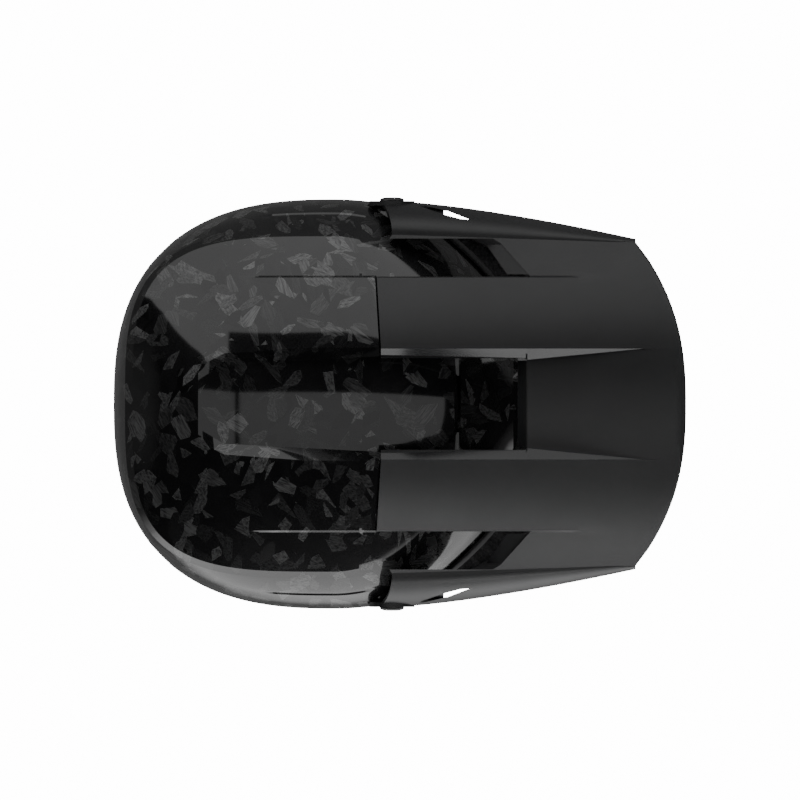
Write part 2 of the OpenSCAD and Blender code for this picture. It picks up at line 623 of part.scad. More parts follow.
cheek_from = 52;
cheek_to = 84;
module cheek_pad() {
    n = 9;
    m = 8;
    d = pad_d + 3;
    back = [for (i = [0:n]) [for (j = [0:m]) rim_pt(mix(cheek_from, cheek_to, i / n), mix(100, 8, j / m), d)]];
    face = [for (i = [0:n]) [for (j = [0:m]) let (p = back[i][j]) [p.x, mix(p.y, min(p.y - 2, cheek_gap), full(i / n, j / m)), p.z]]];
    color(cloth) between(back, face);
}
module cheek_pad_left() { cheek_pad(); }
module cheek_pad_right() { mirror([0, 1, 0]) cheek_pad(); }
module cheek_plate() {
    color(matte) between(
        [for (i = [0:6]) [for (j = [0:5]) rim_pt(mix(cheek_from + 3, cheek_to - 2, i / 6), mix(92, 16, j / 5), pad_d + 0.8)]],
        [for (i = [0:6]) [for (j = [0:5]) rim_pt(mix(cheek_from + 3, cheek_to - 2, i / 6), mix(92, 16, j / 5), pad_d + 2.4)]]);
}
module cheek_plate_left() { cheek_plate(); }
module cheek_plate_right() { mirror([0, 1, 0]) cheek_plate(); }

// Visor mountings
module visor_bush() {
    color(steel) on_pivot() translate([0, 0, ear_in - 0.3]) difference() {
        cylinder(h = ear_out - ear_in + 0.4, r = barrel_r + 2, $fn = 48);
        translate([0, 0, -1]) cylinder(h = 10, r = barrel_r + turn_gap, $fn = 48);
    }
}
module visor_insert() {
    flange = side_pt(pivot_x + 8, pivot_z + 8, shell_wall).y - 3.2;
    color(steel) on_pivot() difference() {
        union() {
            translate([0, 0, flange]) cylinder(h = 2, r = 8, $fn = 48);
            translate([0, 0, flange]) cylinder(h = ear_out + 0.2 - flange, r = barrel_r, $fn = 48);
        }
        translate([0, 0, flange - 1]) cylinder(h = 40, r = screw_r + 0.05, $fn = 48);
    }
}
module visor_screw() {
    color(matte) on_pivot() {
        difference() {
            union() {
                translate([0, 0, head_under]) cylinder(h = 1.2, r = head_r, $fn = 48);
                translate([0, 0, head_under + 1.2]) cylinder(h = 0.9, r1 = head_r, r2 = head_r - 1.6, $fn = 48);
                translate([0, 0, head_under - 14]) cylinder(h = 14.5, r = screw_r, $fn = 48);
            }
            translate([0, 0, head_under + 2.1]) cube([2 * head_r - 5, 1.6, 1.2], center = true);
        }
    }
}
module visor_bush_left() { visor_bush(); }
module visor_bush_right() { mirror([0, 1, 0]) visor_bush(); }
module visor_insert_left() { visor_insert(); }
module visor_insert_right() { mirror([0, 1, 0]) visor_insert(); }
module visor_screw_left() { visor_screw(); }
module visor_screw_right() { mirror([0, 1, 0]) visor_screw(); }

// Chin strap: its anchors on the foam, with +Y outward and +Z up the wall
strap_x = -46;
anchor_z = 50;
anchor_y = side_pt(strap_x, anchor_z, cavity_d).y;
anchor_lean = 18;
plate_seat = 2;
plate_t = 1.6;
strap_seat = plate_seat + plate_t + 0.2;
module strap_frame() {
    translate([strap_x, anchor_y, anchor_z]) rotate([-anchor_lean, 0, 0]) children();
}
function on_wall(y, z) =
    [anchor_y + y * cos(anchor_lean) + z * sin(anchor_lean), anchor_z - y * sin(anchor_lean) + z * cos(anchor_lean)];
module strap_anchor() {
    color(matte) strap_frame() difference() {
        translate([-15, -plate_seat - plate_t, -9]) cube([30, plate_t, 18]);
        rotate([90, 0, 0]) cylinder(h = 10, r = 2.5, center = true, $fn = 32);
    }
}
module strap_anchor_left() { strap_anchor(); }
module strap_anchor_right() { mirror([0, 1, 0]) strap_anchor(); }
module strap_rivets() {
    color(steel) mirrored() strap_frame() rotate([90, 0, 0]) {
        translate([0, 0, strap_seat + strap_t]) cylinder(h = 1.4, r1 = 5, r2 = 3.6, $fn = 32);
        translate([0, 0, -8]) cylinder(h = strap_seat + strap_t + 9, r = 2.2, $fn = 32);
    }
}

// A band of webbing along a path of [y, z] points
module webbing(path) {
    n = len(path);
    function dir(i) = let (v = path[min(n - 1, i + 1)] - path[max(0, i - 1)]) v / norm(v);
    function off(i, s) = path[i] + s * strap_t / 2 * [-dir(i)[1], dir(i)[0]];
    edge = concat([for (i = [0:n - 1]) off(i, 1)], [for (i = [n - 1:-1:0]) off(i, -1)]);
    color(cloth) difference() {
        translate([strap_x - strap_w / 2, 0, 0]) rotate([90, 0, 90]) linear_extrude(strap_w) polygon(edge);
        strap_frame() rotate([90, 0, 0]) cylinder(h = 20, r = 2.3, center = true, $fn = 32);
    }
}
bar_y = 33;
bar_low_z = 11.4;
bar_high_z = 17;
strap_mid = strap_seat + strap_t / 2;
left_path = [on_wall(-strap_mid, 10), on_wall(-strap_mid, -13), [72, 28], [62, 21], [50, 16.4], [bar_y + 3.3, 14.2]];
right_path = [on_wall(-strap_mid, 10), on_wall(-strap_mid, -13), [72, 28], [62, 20], [48, 13], [36, 9], [32, 8.2], [14, 8.2],
    [6, 7.4], [-10, 6.8], [-20, 7], [-23.6, 8.2], [-25, 10.4], [-24, 12.8], [-21.6, 14.2], [-10, 14.2],
    [0, 13.6], [8, 12.4], [14, 11.2], [32, 11.2], [38, 12.2]];
module strap_left() { webbing(left_path); }
module strap_right() { mirror([0, 1, 0]) webbing(right_path); }
module ring_loop() {
    color(cloth) translate([strap_x - strap_w / 2 + 0.2, bar_y, 0]) rotate([90, 0, 90]) difference() {
        linear_extrude(strap_w - 0.4) union() {
            for (z = [bar_low_z, bar_high_z]) translate([0, z]) circle(r = ring_r + 1.5, $fn = 40);
            translate([-ring_r - 1.5, bar_low_z]) square([2 * ring_r + 3, bar_high_z - bar_low_z]);
        }
        for (z = [bar_low_z, bar_high_z]) translate([0, z, -1]) cylinder(h = strap_w + 2, r = ring_r + turn_gap, $fn = 40);
    }
}
module d_ring(z) {
    w = strap_w / 2 + 1;
    depth = 17;
    color(steel) translate([strap_x, bar_y, z]) {
        translate([-w - 2.4, 0, 0]) rotate([0, 90, 0]) cylinder(h = 2 * w + 4.8, r = ring_r, $fn = 40);
        translate([0, 0, -1.2]) linear_extrude(2.4) difference() {
            union() {
                translate([-w - 2.4, -depth + 8]) square([2 * w + 4.8, depth - 8]);
                translate([-w + 5.6, -depth]) square([2 * w - 11.2, depth]);
                for (s = [-1, 1]) translate([s * (w - 5.6), -depth + 8]) circle(r = 8, $fn = 40);
            }
            translate([-w, -depth + 8]) square([2 * w, depth]);
            translate([-w + 5, -depth + 3]) square([2 * w - 10, depth]);
            for (s = [-1, 1]) translate([s * (w - 5), -depth + 8]) circle(r = 5, $fn = 40);
        }
    }
}
module d_ring_upper() { d_ring(bar_high_z); }
module d_ring_lower() { d_ring(bar_low_z); }
module strap_snap() {
    color(matte) translate([strap_x, -23, 0]) {
        translate([0, 0, 9.05]) cylinder(h = 1.3, r = 6, $fn = 40);
        translate([0, 0, 12.05]) cylinder(h = 2, r = 6, $fn = 40);
    }
}

outer_shell();
crown_liner();
side_liner();
chin_liner();
eye_port_edging();
base_edging();
chin_grille();
chin_filter();
rear_grille_left();
rear_grille_right();
crown_pad();
brow_pad();
rear_pad();
neck_roll();
cheek_pad_left();
cheek_pad_right();
cheek_plate_left();
cheek_plate_right();
visor();
visor_bush_left();
visor_bush_right();
visor_insert_left();
visor_insert_right();
visor_screw_left();
visor_screw_right();
strap_left();
strap_right();
strap_anchor_left();
strap_anchor_right();
strap_rivets();
ring_loop();
d_ring_upper();
d_ring_lower();
strap_snap();
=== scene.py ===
"""Dresses the full-face mountain bike helmet for the studio picture."""

import math
import bpy
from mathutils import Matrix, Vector


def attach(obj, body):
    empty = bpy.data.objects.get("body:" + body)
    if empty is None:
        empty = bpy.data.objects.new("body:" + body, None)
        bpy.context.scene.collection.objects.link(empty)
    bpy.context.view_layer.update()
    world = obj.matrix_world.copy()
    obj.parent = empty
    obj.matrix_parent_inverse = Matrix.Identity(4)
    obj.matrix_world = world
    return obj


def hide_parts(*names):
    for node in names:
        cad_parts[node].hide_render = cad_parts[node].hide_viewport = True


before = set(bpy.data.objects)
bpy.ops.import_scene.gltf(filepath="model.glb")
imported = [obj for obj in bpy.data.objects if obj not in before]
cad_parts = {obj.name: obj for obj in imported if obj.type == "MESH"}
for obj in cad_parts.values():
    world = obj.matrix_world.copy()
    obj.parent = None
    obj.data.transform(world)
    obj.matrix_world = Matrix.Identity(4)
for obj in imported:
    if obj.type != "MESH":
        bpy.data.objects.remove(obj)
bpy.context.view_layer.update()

bl_info = {
    "name": "Mountain Bike Helmet Dressing",
    "version": (1, 0, 0),
    "blender": (4, 5, 0),
    "location": "3D View > Sidebar > Helmet",
    "description": "Builds the helmet's finished pieces, materials and studio round the packed frame",
    "category": "Object",
}

MM = 0.001


# Sizes shared by the shell, the visor and the linings, in millimetres. A name that ends in _T is a share of
# the wall's height, and one that ends in _HALF is a distance from the middle.

SHELL_HALF = 127.0
RIM_HALF = 94.0
SHOULDER_HALF = 108.5
STRIP = 4.5
SHELL_BACK = 137.6
SHOULDER_BACK = 130.5
RIM_BACK = 92.0
CHIN_FORE = 156.0
RIM_FORE = 145.0
BROW_FORE = 123.0
BROW_X = 73.0
WIDE_X = -40.0
SIDE_Z = 196.0
REAR_Z = 184.0
CROWN_RISE = 52.0
SHELL_WALL = 3.0
RIM_LIFT = 3.0
BAND_IN = 35.0
BAND_OUT = 78.4
BAND_RISE = 5.0
BAND_START = -104.0
FLOOR_HALF = 30.6
FLOOR_HALF_BACK = 24.6
CHANNEL_DEPTH = 7.0
CHANNEL_BACK = -125.2
CHANNEL_RAMP = 24.0
CHANNEL_FRONT = 33.6
BROW_DEPTH = 13.0
PORT_TOP = 166.0
PORT_BOTTOM = 90.0
PORT_CORNER_Z = 128.0
PORT_TURN = 66.0
VISOR_WALL = 2.4
VISOR_BACK = -12.0
VISOR_FRONT = 177.4
SEAM_GAP = 0.9
VISOR_HALF_FRONT = 101.0
PIVOT = (-5.0, 155.0)
EAR_R = 14.0
BOSS_RISE = 1.8
EAR_GAP = 1.7
EAR_WALL = 2.5
EAR_FACE = 0.4
PANEL_DEPTH = 9.0
PANEL_BACK = 79.0
FOOT_REAR = (30.4, 28.5)
FOOT_FORE = 27.4
RIB_RUN = 74.0
VISOR_DROOP = 12.0
CAVITY = SHELL_WALL + 25.0
PAD_D = CAVITY + 0.4
PAD = 8.0
CHEEK_GAP = 62.0
WIDE_T = 0.7
CHIN_T = 0.42
CAP_T = 0.9
STRIP_T = 0.967
GROOVE_T = 0.889
GROOVE_STEP = 0.0055
CORNER_SHARE = 0.885
BACK_SQUARE = (2.58, 1.04)
FORE_SQUARE = (2.35, -0.7)
CAP_SLOPE = 260.0
CHANNEL_TAIL = 16.0
RIM_STEP = 3.7
EDGE_LINE = BAND_OUT + 1.2
CROWN_ROUND = (2.6, 2.05)
PORT_ROUND = 0.62
VISOR_RISE = 3.0
VISOR_PEAK = 60.0
FRONT_SWEEP = (0.000305, 2.5)
VISOR_LIT = "lit by the visor light"

# Numbers of the crown's stations, from the rear, and of its lines, from the middle, where its rule changes

RAMP_END, SEAM, VISOR_START, LAST = 5, 9, 10, 15
FLOOR_EDGE, BAND_EDGE, STEP_FOOT, CORNER = 1, 4, 5, 7


def mix(a, b, f):
    """Value at the share f of the way from a to b."""
    return a + (b - a) * f


def clamp01(v):
    return min(1.0, max(0.0, v))


def smooth(v):
    """Eases from 0 to 1."""
    v = clamp01(v)
    return v * v * (3 - 2 * v)


def spow(v, e):
    """A power that keeps the sign."""
    return math.copysign(abs(v) ** e, v)


def between(values, f):
    """Value at the fractional place f of a list."""
    i = min(len(values) - 2, max(0, int(math.floor(f))))
    return mix(values[i], values[i + 1], f - i)


def swell(t, peak, low, most, high, e_low, e_high):
    """Reach that swells from the rim to its widest level and draws in to the shoulder."""
    if t < peak:
        return most - (most - low) * ((peak - t) / peak) ** e_low
    strip = STRIP * max(0.0, t - STRIP_T) / (1 - STRIP_T)
    return most - (most - high) * ((min(t, STRIP_T) - peak) / (STRIP_T - peak)) ** e_high - strip


def half_at(t):
    """Half the shell's width at a level t of its wall."""
    return swell(t, WIDE_T, RIM_HALF, SHELL_HALF, SHOULDER_HALF, 2.1, 2)


def back_at(t):
    return swell(t, WIDE_T, RIM_BACK, SHELL_BACK, SHOULDER_BACK, 1.9, 2)


def fore_at(t):
    return swell(t, CHIN_T, RIM_FORE, CHIN_FORE, BROW_FORE, 2, 0.9)


def n_back(t):
    """Exponent of the outline behind the widest place: higher is squarer."""
    low, gain = BACK_SQUARE
    return low + gain * clamp01((t - WIDE_T) / (1 - WIDE_T)) ** 2


def n_fore(t):
    low, gain = FORE_SQUARE
    return low + gain * clamp01((t - CHIN_T) / (1 - CHIN_T))


def cap_at(t):
    """Where the brow cuts the outline off."""
    return BROW_X + CAP_SLOPE * max(0.0, CAP_T - t) - 0.6 * STRIP * max(0.0, t - STRIP_T) / (1 - STRIP_T)


def outline(q, t, d):
    """Point of the shell's outline at turn q, in radians, and level t, drawn in by d."""
    c, s = math.cos(q), math.sin(q)
    n = n_back(t) if c < 0 else n_fore(t)
    a = (back_at(t) if c < 0 else fore_at(t)) - d
    return min(WIDE_X + a * spow(c, 2 / n), cap_at(t) - d), (half_at(t) - d) * spow(s, 2 / n)


def dome(x, y, d):
    """Height of the smooth crown over a point."""
    behind = x < WIDE_X
    n, reach = (n_back(1), back_at(1)) if behind else (n_fore(1), fore_at(1))
    u = min(1.0, abs(x - WIDE_X) / (reach - d))
    w = (half_at(1) - d) * max(0.0, 1 - u ** n) ** (1 / n)
    v = 1.0 if w < 0.01 else min(1.0, abs(y) / w)
    edge = mix(SIDE_Z, REAR_Z, u ** n) if behind else SIDE_Z
    along, across = CROWN_ROUND
    return edge - d + CROWN_RISE * (1 - u ** along) * (1 - v ** across)


def floor_half(x):
    """Half the width of the channel's floor."""
    ahead = x - CHANNEL_BACK - CHANNEL_TAIL
    if ahead < 0:
        return mix(15, FLOOR_HALF_BACK, clamp01(1 + ahead / CHANNEL_TAIL))
    return mix(FLOOR_HALF_BACK, FLOOR_HALF, clamp01(ahead / 112))


def rim_half(x):
    """Half the width between the channel's upper edges."""
    ahead = x - CHANNEL_BACK - CHANNEL_TAIL
    if ahead < 0:
        return mix(23, BAND_IN - RIM_STEP, clamp01(1 + ahead / CHANNEL_TAIL))
    return BAND_IN - RIM_STEP * (1 - clamp01(ahead / 50))


def band_at(x):
    """Height of the raised bands."""
    return BAND_RISE * smooth((x - BAND_START) / 70)


def seam_x(y):
    """Rear edge of the visor's place, where the raised bands end."""
    return VISOR_BACK - SEAM_GAP - 0.06 * max(0.0, abs(y) - BAND_IN)


def relief_line(x, y, k):
    """Height of the bands and depth of the channel on one crown line."""
    if k <= FLOOR_EDGE:
        if x > CHANNEL_FRONT + 0.5:
            return -BROW_DEPTH
        r = clamp01((x - CHANNEL_BACK) / CHANNEL_RAMP)
        return -CHANNEL_DEPTH * r * (2 - r)
    return band_at(x) if k <= BAND_EDGE and x <= seam_x(y) + 0.01 else 0.0


def relief(x, y, k):
    """The same between the lines."""
    low = int(math.floor(k))
    if low >= STEP_FOOT:
        return 0.0
    return mix(relief_line(x, y, low), relief_line(x, y, low + 1), k - low)


def turn_back(y, d):
    """Turn at which the shoulder's outline lies at a distance from the middle, behind its widest place."""
    return math.pi - math.asin(min(1.0, (y / (half_at(1) - d)) ** (n_back(1) / 2)))


def turn_fore(y, d):
    """The same in front of it."""
    return math.asin(min(1.0, (y / (half_at(1) - d)) ** (n_fore(1) / 2)))


def turn_side(x, d):
    """Turn at which the shoulder's outline lies at a place along the shell."""
    if x < WIDE_X:
        return math.acos(-min(1.0, ((WIDE_X - x) / (back_at(1) - d)) ** (n_back(1) / 2)))
    return math.acos(min(1.0, ((x - WIDE_X) / (fore_at(1) - d)) ** (n_fore(1) / 2)))


def edge_back(y, d):
    """The crown's rear edge."""
    return outline(turn_back(y, d), 1, d)[0]


def edge_fore(y, d):
    """The crown's front edge."""
    return outline(turn_fore(y, d), 1, d)[0]


def line_y(k, x, d):
    """Distance of crown line k from the middle."""
    corner = CORNER_SHARE * (half_at(1) - d)
    ys = [0, floor_half(x), rim_half(x), 57, BAND_OUT, EDGE_LINE, (EDGE_LINE + corner) / 2, corner]
    return between(ys, k)


def stations(d):
    """Places along the crown, from the rear edge to the brow."""
    rear, seam = edge_back(0, d), VISOR_BACK - SEAM_GAP
    return [rear, mix(rear, CHANNEL_BACK, 0.5), CHANNEL_BACK, CHANNEL_BACK + 8, CHANNEL_BACK + CHANNEL_TAIL,
            CHANNEL_BACK + CHANNEL_RAMP, -74, -50, -30, seam, seam + SEAM_GAP,
            12, CHANNEL_FRONT, CHANNEL_FRONT + 1, 54, edge_fore(0, d)]


def crown_xy(i, k, d):
    """Place of a crown point: i counts stations from the rear, k counts lines from the middle."""
    xs = stations(d)
    x0 = between(xs, i)
    if k <= STEP_FOOT:
        return crown_line_xy(i, x0, xs, k, d)
    a, b = crown_xy(i, STEP_FOOT, d), crown_line_xy(i, x0, xs, CORNER, d)
    f = (k - STEP_FOOT) / (CORNER - STEP_FOOT)
    x, y = mix(a[0], b[0], f), mix(a[1], b[1], f)
    if i == 0 and k < CORNER:
        x = edge_back(y, d)
    if i == LAST and k < CORNER:
        x = edge_fore(y, d)
    return x, y


def crown_line_xy(i, x0, xs, k, d):
    """The same on one line, for a station whose place on the middle line is x0."""
    y = line_y(k, x0, d)
    if i <= RAMP_END:
        x = mix(edge_back(y, d), xs[RAMP_END], (x0 - xs[0]) / (xs[RAMP_END] - xs[0]))
    elif i < SEAM:
        x = mix(x0, seam_x(y), clamp01(i - SEAM + 1))
    elif i <= VISOR_START:
        x = seam_x(y) + SEAM_GAP * (i - SEAM)
    else:
        share = (x0 - xs[VISOR_START]) / (xs[LAST] - xs[VISOR_START])
        x = mix(seam_x(y) + SEAM_GAP, edge_fore(y, d), share)
    return (x, outline(turn_side(x, d), 1, d)[1]) if k == CORNER else (x, y)


def crown_pt(i, j, d):
    """Point of the crown; j is negative on the wearer's right."""
    k = abs(j)
    x, y = crown_xy(i, k, d)
    return x, math.copysign(y, j), dome(x, y, d) + relief(x, y, k)


def rim_pt(q, z, d):
    """Point of the wall at turn q, in degrees, and height z."""
    q = math.radians(q)
    rx, ry = outline(q, 1, d)
    x, y = outline(q, z / dome(rx, ry, d), d)
    return x, y, z


def port_pt(a, grow, d):
    """Point round the eye port: a is the place in degrees, grow widens it and d sinks it."""
    c, s = (spow(v, PORT_ROUND) for v in (math.cos(math.radians(a)), math.sin(math.radians(a))))
    q = (PORT_TURN + grow / 2.2) * c
    z = mix((PORT_TOP + PORT_BOTTOM) / 2, PORT_CORNER_Z, abs(c)) + ((PORT_TOP - PORT_BOTTOM) / 2 + grow) * s
    return rim_pt(q, z, d)


def side_pt(x, z, d):
    """Point of the side wall at a given x and height, on the wearer's left."""
    t = z / (SIDE_Z - d)
    behind = x < WIDE_X
    n = n_back(t) if behind else n_fore(t)
    a = (back_at(t) if behind else fore_at(t)) - d
    return x, (half_at(t) - d) * max(0.0, 1 - (abs(x - WIDE_X) / a) ** n) ** (1 / n), z


def seat():
    """Distance of the visor's seats from the middle."""
    return side_pt(*PIVOT, 0)[1] + BOSS_RISE


def visor_top(x, y):
    """Height of the visor's smooth top, that the ribs have and the panel and the sides lie under."""
    if x < VISOR_PEAK:
        rise = VISOR_RISE * smooth((x - VISOR_BACK) / 72)
    else:
        rise = VISOR_RISE - (VISOR_DROOP + VISOR_RISE) * ((x - VISOR_PEAK) / 117) ** 1.8
    camber = (CROWN_RISE - 1) * (abs(y) / 101) ** 2.05 * mix(1, 0.78, clamp01((x - VISOR_BACK) / 189))
    return SIDE_Z + CROWN_RISE - 1.2 + BAND_RISE + rise - camber


# Building helpers, all in millimetres

def plain():
    """Leaves edit mode and selects nothing."""
    if bpy.context.object is not None and bpy.context.object.mode != "OBJECT":
        bpy.ops.object.mode_set(mode="OBJECT")
    bpy.ops.object.select_all(action="DESELECT")


def pick(*pieces):
    """Selects only these pieces, the first of them active."""
    plain()
    for piece in pieces:
        piece.select_set(True)
    bpy.context.view_layer.objects.active = pieces[0]


def joined(*pieces):
    """Makes the pieces one, under the first one's name."""
    pick(*pieces)
    if len(pieces) > 1:
        bpy.ops.object.join()
    return pieces[0]


def named(name):
    """The piece just made, under its name and with its place in its mesh."""
    piece = bpy.context.object
    piece.name = piece.data.name = name
    bpy.ops.object.transform_apply(location=True, rotation=True, scale=True)
    return piece


def edited(piece, *steps):
    """Selects all of a piece in edit mode and takes the steps there."""
    pick(piece)
    bpy.ops.object.mode_set(mode="EDIT")
    bpy.ops.mesh.select_all(action="SELECT")
    for step in steps:
        step()
    bpy.ops.object.mode_set(mode="OBJECT")
    return piece


def outward():
    bpy.ops.mesh.normals_make_consistent(inside=False)


def applied(piece, kind, **settings):
    """Adds a modifier and applies it."""
    pick(piece)
    modifier = piece.modifiers.new(kind.title(), kind)
    for key, value in settings.items():
        setattr(modifier, key, value)
    bpy.ops.object.modifier_apply(modifier=modifier.name)
    return piece


def cut(piece, tool, operation="DIFFERENCE"):
    """Cuts a tool body out of a piece, or joins it on, and removes the tool."""
    applied(piece, "BOOLEAN", object=tool, operation=operation, solver="MANIFOLD")
    bpy.data.objects.remove(tool, do_unlink=True)
    return piece


def sheet_of(name, place, columns, rows):
    """A grid laid by its formula: place(i, j) gives each corner in millimetres."""
    plain()
    bpy.ops.mesh.primitive_grid_add(x_subdivisions=columns, y_subdivisions=rows, size=1)
    piece = named(name)
    for v in piece.data.vertices:
        i, j = v.index % (columns + 1), v.index // (columns + 1)
        v.co = Vector(place(i, j)) * MM
    return piece


def closed_up(*sheets, gap=0.0004 * MM):
    """Joins sheets that share their edges into one outward-facing body."""
    return edited(joined(*sheets), lambda: bpy.ops.mesh.remove_doubles(threshold=gap), outward)


def softened(piece, angle=32):
    """Shades a piece smooth where its faces meet at less than the angle, in degrees."""
    pick(piece)
    bpy.ops.object.shade_smooth_by_angle(angle=math.radians(angle))
    return piece


def evened(piece):
    """Lets the large faces set the shading where cuts have left slivers."""
    return applied(piece, "WEIGHTED_NORMAL", keep_sharp=True)


def edges_broken(piece, width, angle=24, where=None):
    """Bevels the sharp edges and seams of a piece, only where the test on their middle holds."""
    pick(piece)
    bpy.ops.object.mode_set(mode="EDIT")
    bpy.ops.mesh.select_mode(type="EDGE")
    bpy.ops.mesh.select_all(action="DESELECT")
    bpy.ops.mesh.edges_select_sharp(sharpness=math.radians(angle))
    if where is not None:
        bpy.ops.object.mode_set(mode="OBJECT")
        mesh = piece.data
        for edge in mesh.edges:
            a, b = (mesh.vertices[v].co for v in edge.vertices)
            edge.select = (edge.select or edge.use_seam) and bool(where((a + b) / 2 / MM))
        bpy.ops.object.mode_set(mode="EDIT")
    bpy.ops.mesh.bevel(offset=width * MM, segments=2, affect="EDGES", clamp_overlap=True)
    bpy.ops.object.mode_set(mode="OBJECT")
    return piece


def ends_filled():
    """Steps that fill the two open ends of a swept tube."""
    bpy.ops.mesh.remove_doubles(threshold=0.01 * MM)
    bpy.ops.mesh.select_mode(type="EDGE")
    bpy.ops.mesh.select_all(action="DESELECT")
    bpy.ops.mesh.select_non_manifold()
    bpy.ops.mesh.edge_face_add()


def ring_of(name, sections, closed=True):
    """A body swept through sections, each a closed list of points."""
    n, m = len(sections), len(sections[0])
    piece = sheet_of(name, lambda i, j: sections[i % n][j % m], n if closed else n - 1, m)
    return closed_up(piece if closed else edited(piece, ends_filled))


def pivot_rod(name, radius, near, far, side, vertices=48):
    """A round bar on the visor's axis, between two distances from the middle, on one side."""
    plain()
    bpy.ops.mesh.primitive_cylinder_add(
        vertices=vertices, radius=radius * MM, depth=(far - near) * MM, rotation=(math.pi / 2, 0, 0),
        location=[c * MM for c in (PIVOT[0], side * (near + far) / 2, PIVOT[1])])
    return named(name)


def hull_of(name, points):
    """The closed skin round a set of points."""
    plain()
    bpy.ops.mesh.primitive_circle_add(vertices=len(points), radius=MM)
    piece = named(name)
    for v, p in zip(piece.data.vertices, points):
        v.co = Vector(p) * MM
    return edited(piece, bpy.ops.mesh.convex_hull, outward)


def circle(middle, u, v, r, count):
    """Points of a circle round a middle, in the plane of two vectors."""
    turns = [2 * math.pi * n / count for n in range(count)]
    return [middle + (u * math.cos(t) + v * math.sin(t)) * r for t in turns]


def rounded(points, radius, steps):
    """Points of level circles drawn round the given points."""
    return [p for point in points
            for p in circle(Vector(point), Vector((1, 0, 0)), Vector((0, 1, 0)), radius, steps)]


def other_side(piece, name):
    """A copy of a piece on the wearer's other side."""
    pick(piece)
    bpy.ops.object.duplicate()
    bpy.context.object.scale = (1, -1, 1)
    return edited(named(name), bpy.ops.mesh.flip_normals)


def spread(parts, counts):
    """Fractional places: each step of parts is divided by its count."""
    places = []
    for start, end, count in zip(parts[:-1], parts[1:], counts):
        places += [mix(start, end, n / count) for n in range(count)]
    return places + [parts[-1]]


def both_ways(half):
    """Places from the middle out, with the same on the other side before them."""
    return [-k for k in reversed(half[1:])] + half


def on_body(piece, body, slot, material, *nodes):
    """Lets a finished piece ride on its body in place of its nodes, with its material."""
    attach(piece, body)
    if nodes:
        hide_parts(*nodes)
    piece.data.materials.clear()
    piece.data.materials.append(material)
    return piece


# Shader maths

class Field:
    """A socket that takes arithmetic: an expression on it adds its Math nodes."""

    def __init__(self, shader, socket):
        self.shader = shader
        self.socket = socket

    def _math(self, operation, *values):
        return self.shader.node("ShaderNodeMath", dict(enumerate(values)), operation=operation)

    def __add__(self, other):
        return self._math("ADD", self, other)

    def __radd__(self, other):
        return self._math("ADD", other, self)

    def __mul__(self, other):
        return self._math("MULTIPLY", self, other)

    def __rmul__(self, other):
        return self._math("MULTIPLY", other, self)

    def above(self, level):
        return self._math("GREATER_THAN", self, level)

    def below(self, level):
        return self._math("LESS_THAN", self, level)

    def power(self, exponent):
        return self._math("POWER", self, exponent)

    def wave(self):
        return self._math("SINE", self)

    def size(self):
        return self._math("ABSOLUTE", self)


class Shader:
    """A material, or the world: its nodes, made by type, inputs and settings."""

    def __init__(self, name, world=None):
        self.material = world or bpy.data.materials.get(name) or bpy.data.materials.new(name)
        self.material.use_nodes = True
        self.tree = self.material.node_tree
        self.tree.nodes.clear()
        self.out = self.tree.nodes.new("ShaderNodeOutputWorld" if world else "ShaderNodeOutputMaterial")

    def node(self, kind, inputs=None, output=0, **settings):
        made = self.tree.nodes.new(kind)
        for key, value in settings.items():
            setattr(made, key, value)
        for key, value in (inputs or {}).items():
            if isinstance(value, Field):
                self.tree.links.new(value.socket, made.inputs[key])
            else:
                made.inputs[key].default_value = value
        return Field(self, made.outputs[output])

    def place(self):
        return self.node("ShaderNodeTexCoord", output="Object")

    def map(self, vector, scale=(1, 1, 1), turn=(0, 0, 0), shift=(0, 0, 0)):
        return self.node("ShaderNodeMapping",
                         {"Vector": vector, "Scale": scale, "Rotation": turn, "Location": shift})

    def noise(self, vector, scale, detail=2.0, roughness=0.5):
        return self.node("ShaderNodeTexNoise",
                         {"Vector": vector, "Scale": scale, "Detail": detail, "Roughness": roughness})

    def cells(self, vector, scale, output="Color", feature="F1"):
        inputs = {"Vector": vector, "Scale": scale}
        return self.node("ShaderNodeTexVoronoi", inputs, output, feature=feature)

    def parts(self, colour, output=0):
        return self.node("ShaderNodeSeparateColor", {"Color": colour}, output)

    def axis(self, vector, output):
        return self.node("ShaderNodeSeparateXYZ", {"Vector": vector}, output)

    def range(self, value, low, high, to_low, to_high):
        ends = {"From Min": low, "From Max": high, "To Min": to_low, "To Max": to_high}
        return self.node("ShaderNodeMapRange", {"Value": value, **ends}, clamp=True)

    def blend(self, factor, a, b):
        return self.node("ShaderNodeMix", {0: factor, 6: a, 7: b}, 2, data_type="RGBA")

    def level(self, factor, a, b):
        return self.node("ShaderNodeMix", {0: factor, 2: a, 3: b}, data_type="FLOAT")

    def vector(self, operation, a, b=(0, 0, 0)):
        """Vector maths; SCALE takes a number as its second value."""
        second = "Scale" if operation == "SCALE" else 1
        return self.node("ShaderNodeVectorMath", {0: a, second: b}, operation=operation)

    def leaned(self, normal, lean):
        return self.vector("NORMALIZE", self.vector("ADD", normal, lean))

    def bump(self, height, strength, distance):
        """Relief from a height, its depth in millimetres."""
        return self.node("ShaderNodeBump",
                         {"Height": height, "Strength": strength, "Distance": distance * MM})

    def show(self, surface):
        self.tree.links.new(surface.socket, self.out.inputs["Surface"])
        return self.material

    def finish(self, **sockets):
        inputs = {key.replace("_", " "): value for key, value in sockets.items()}
        return self.show(self.node("ShaderNodeBsdfPrincipled", inputs))


def shade(rgb, factor=1.0):
    """A colour for a socket, made paler or darker by a factor."""
    return tuple(c * factor for c in rgb[:3]) + (1.0,)


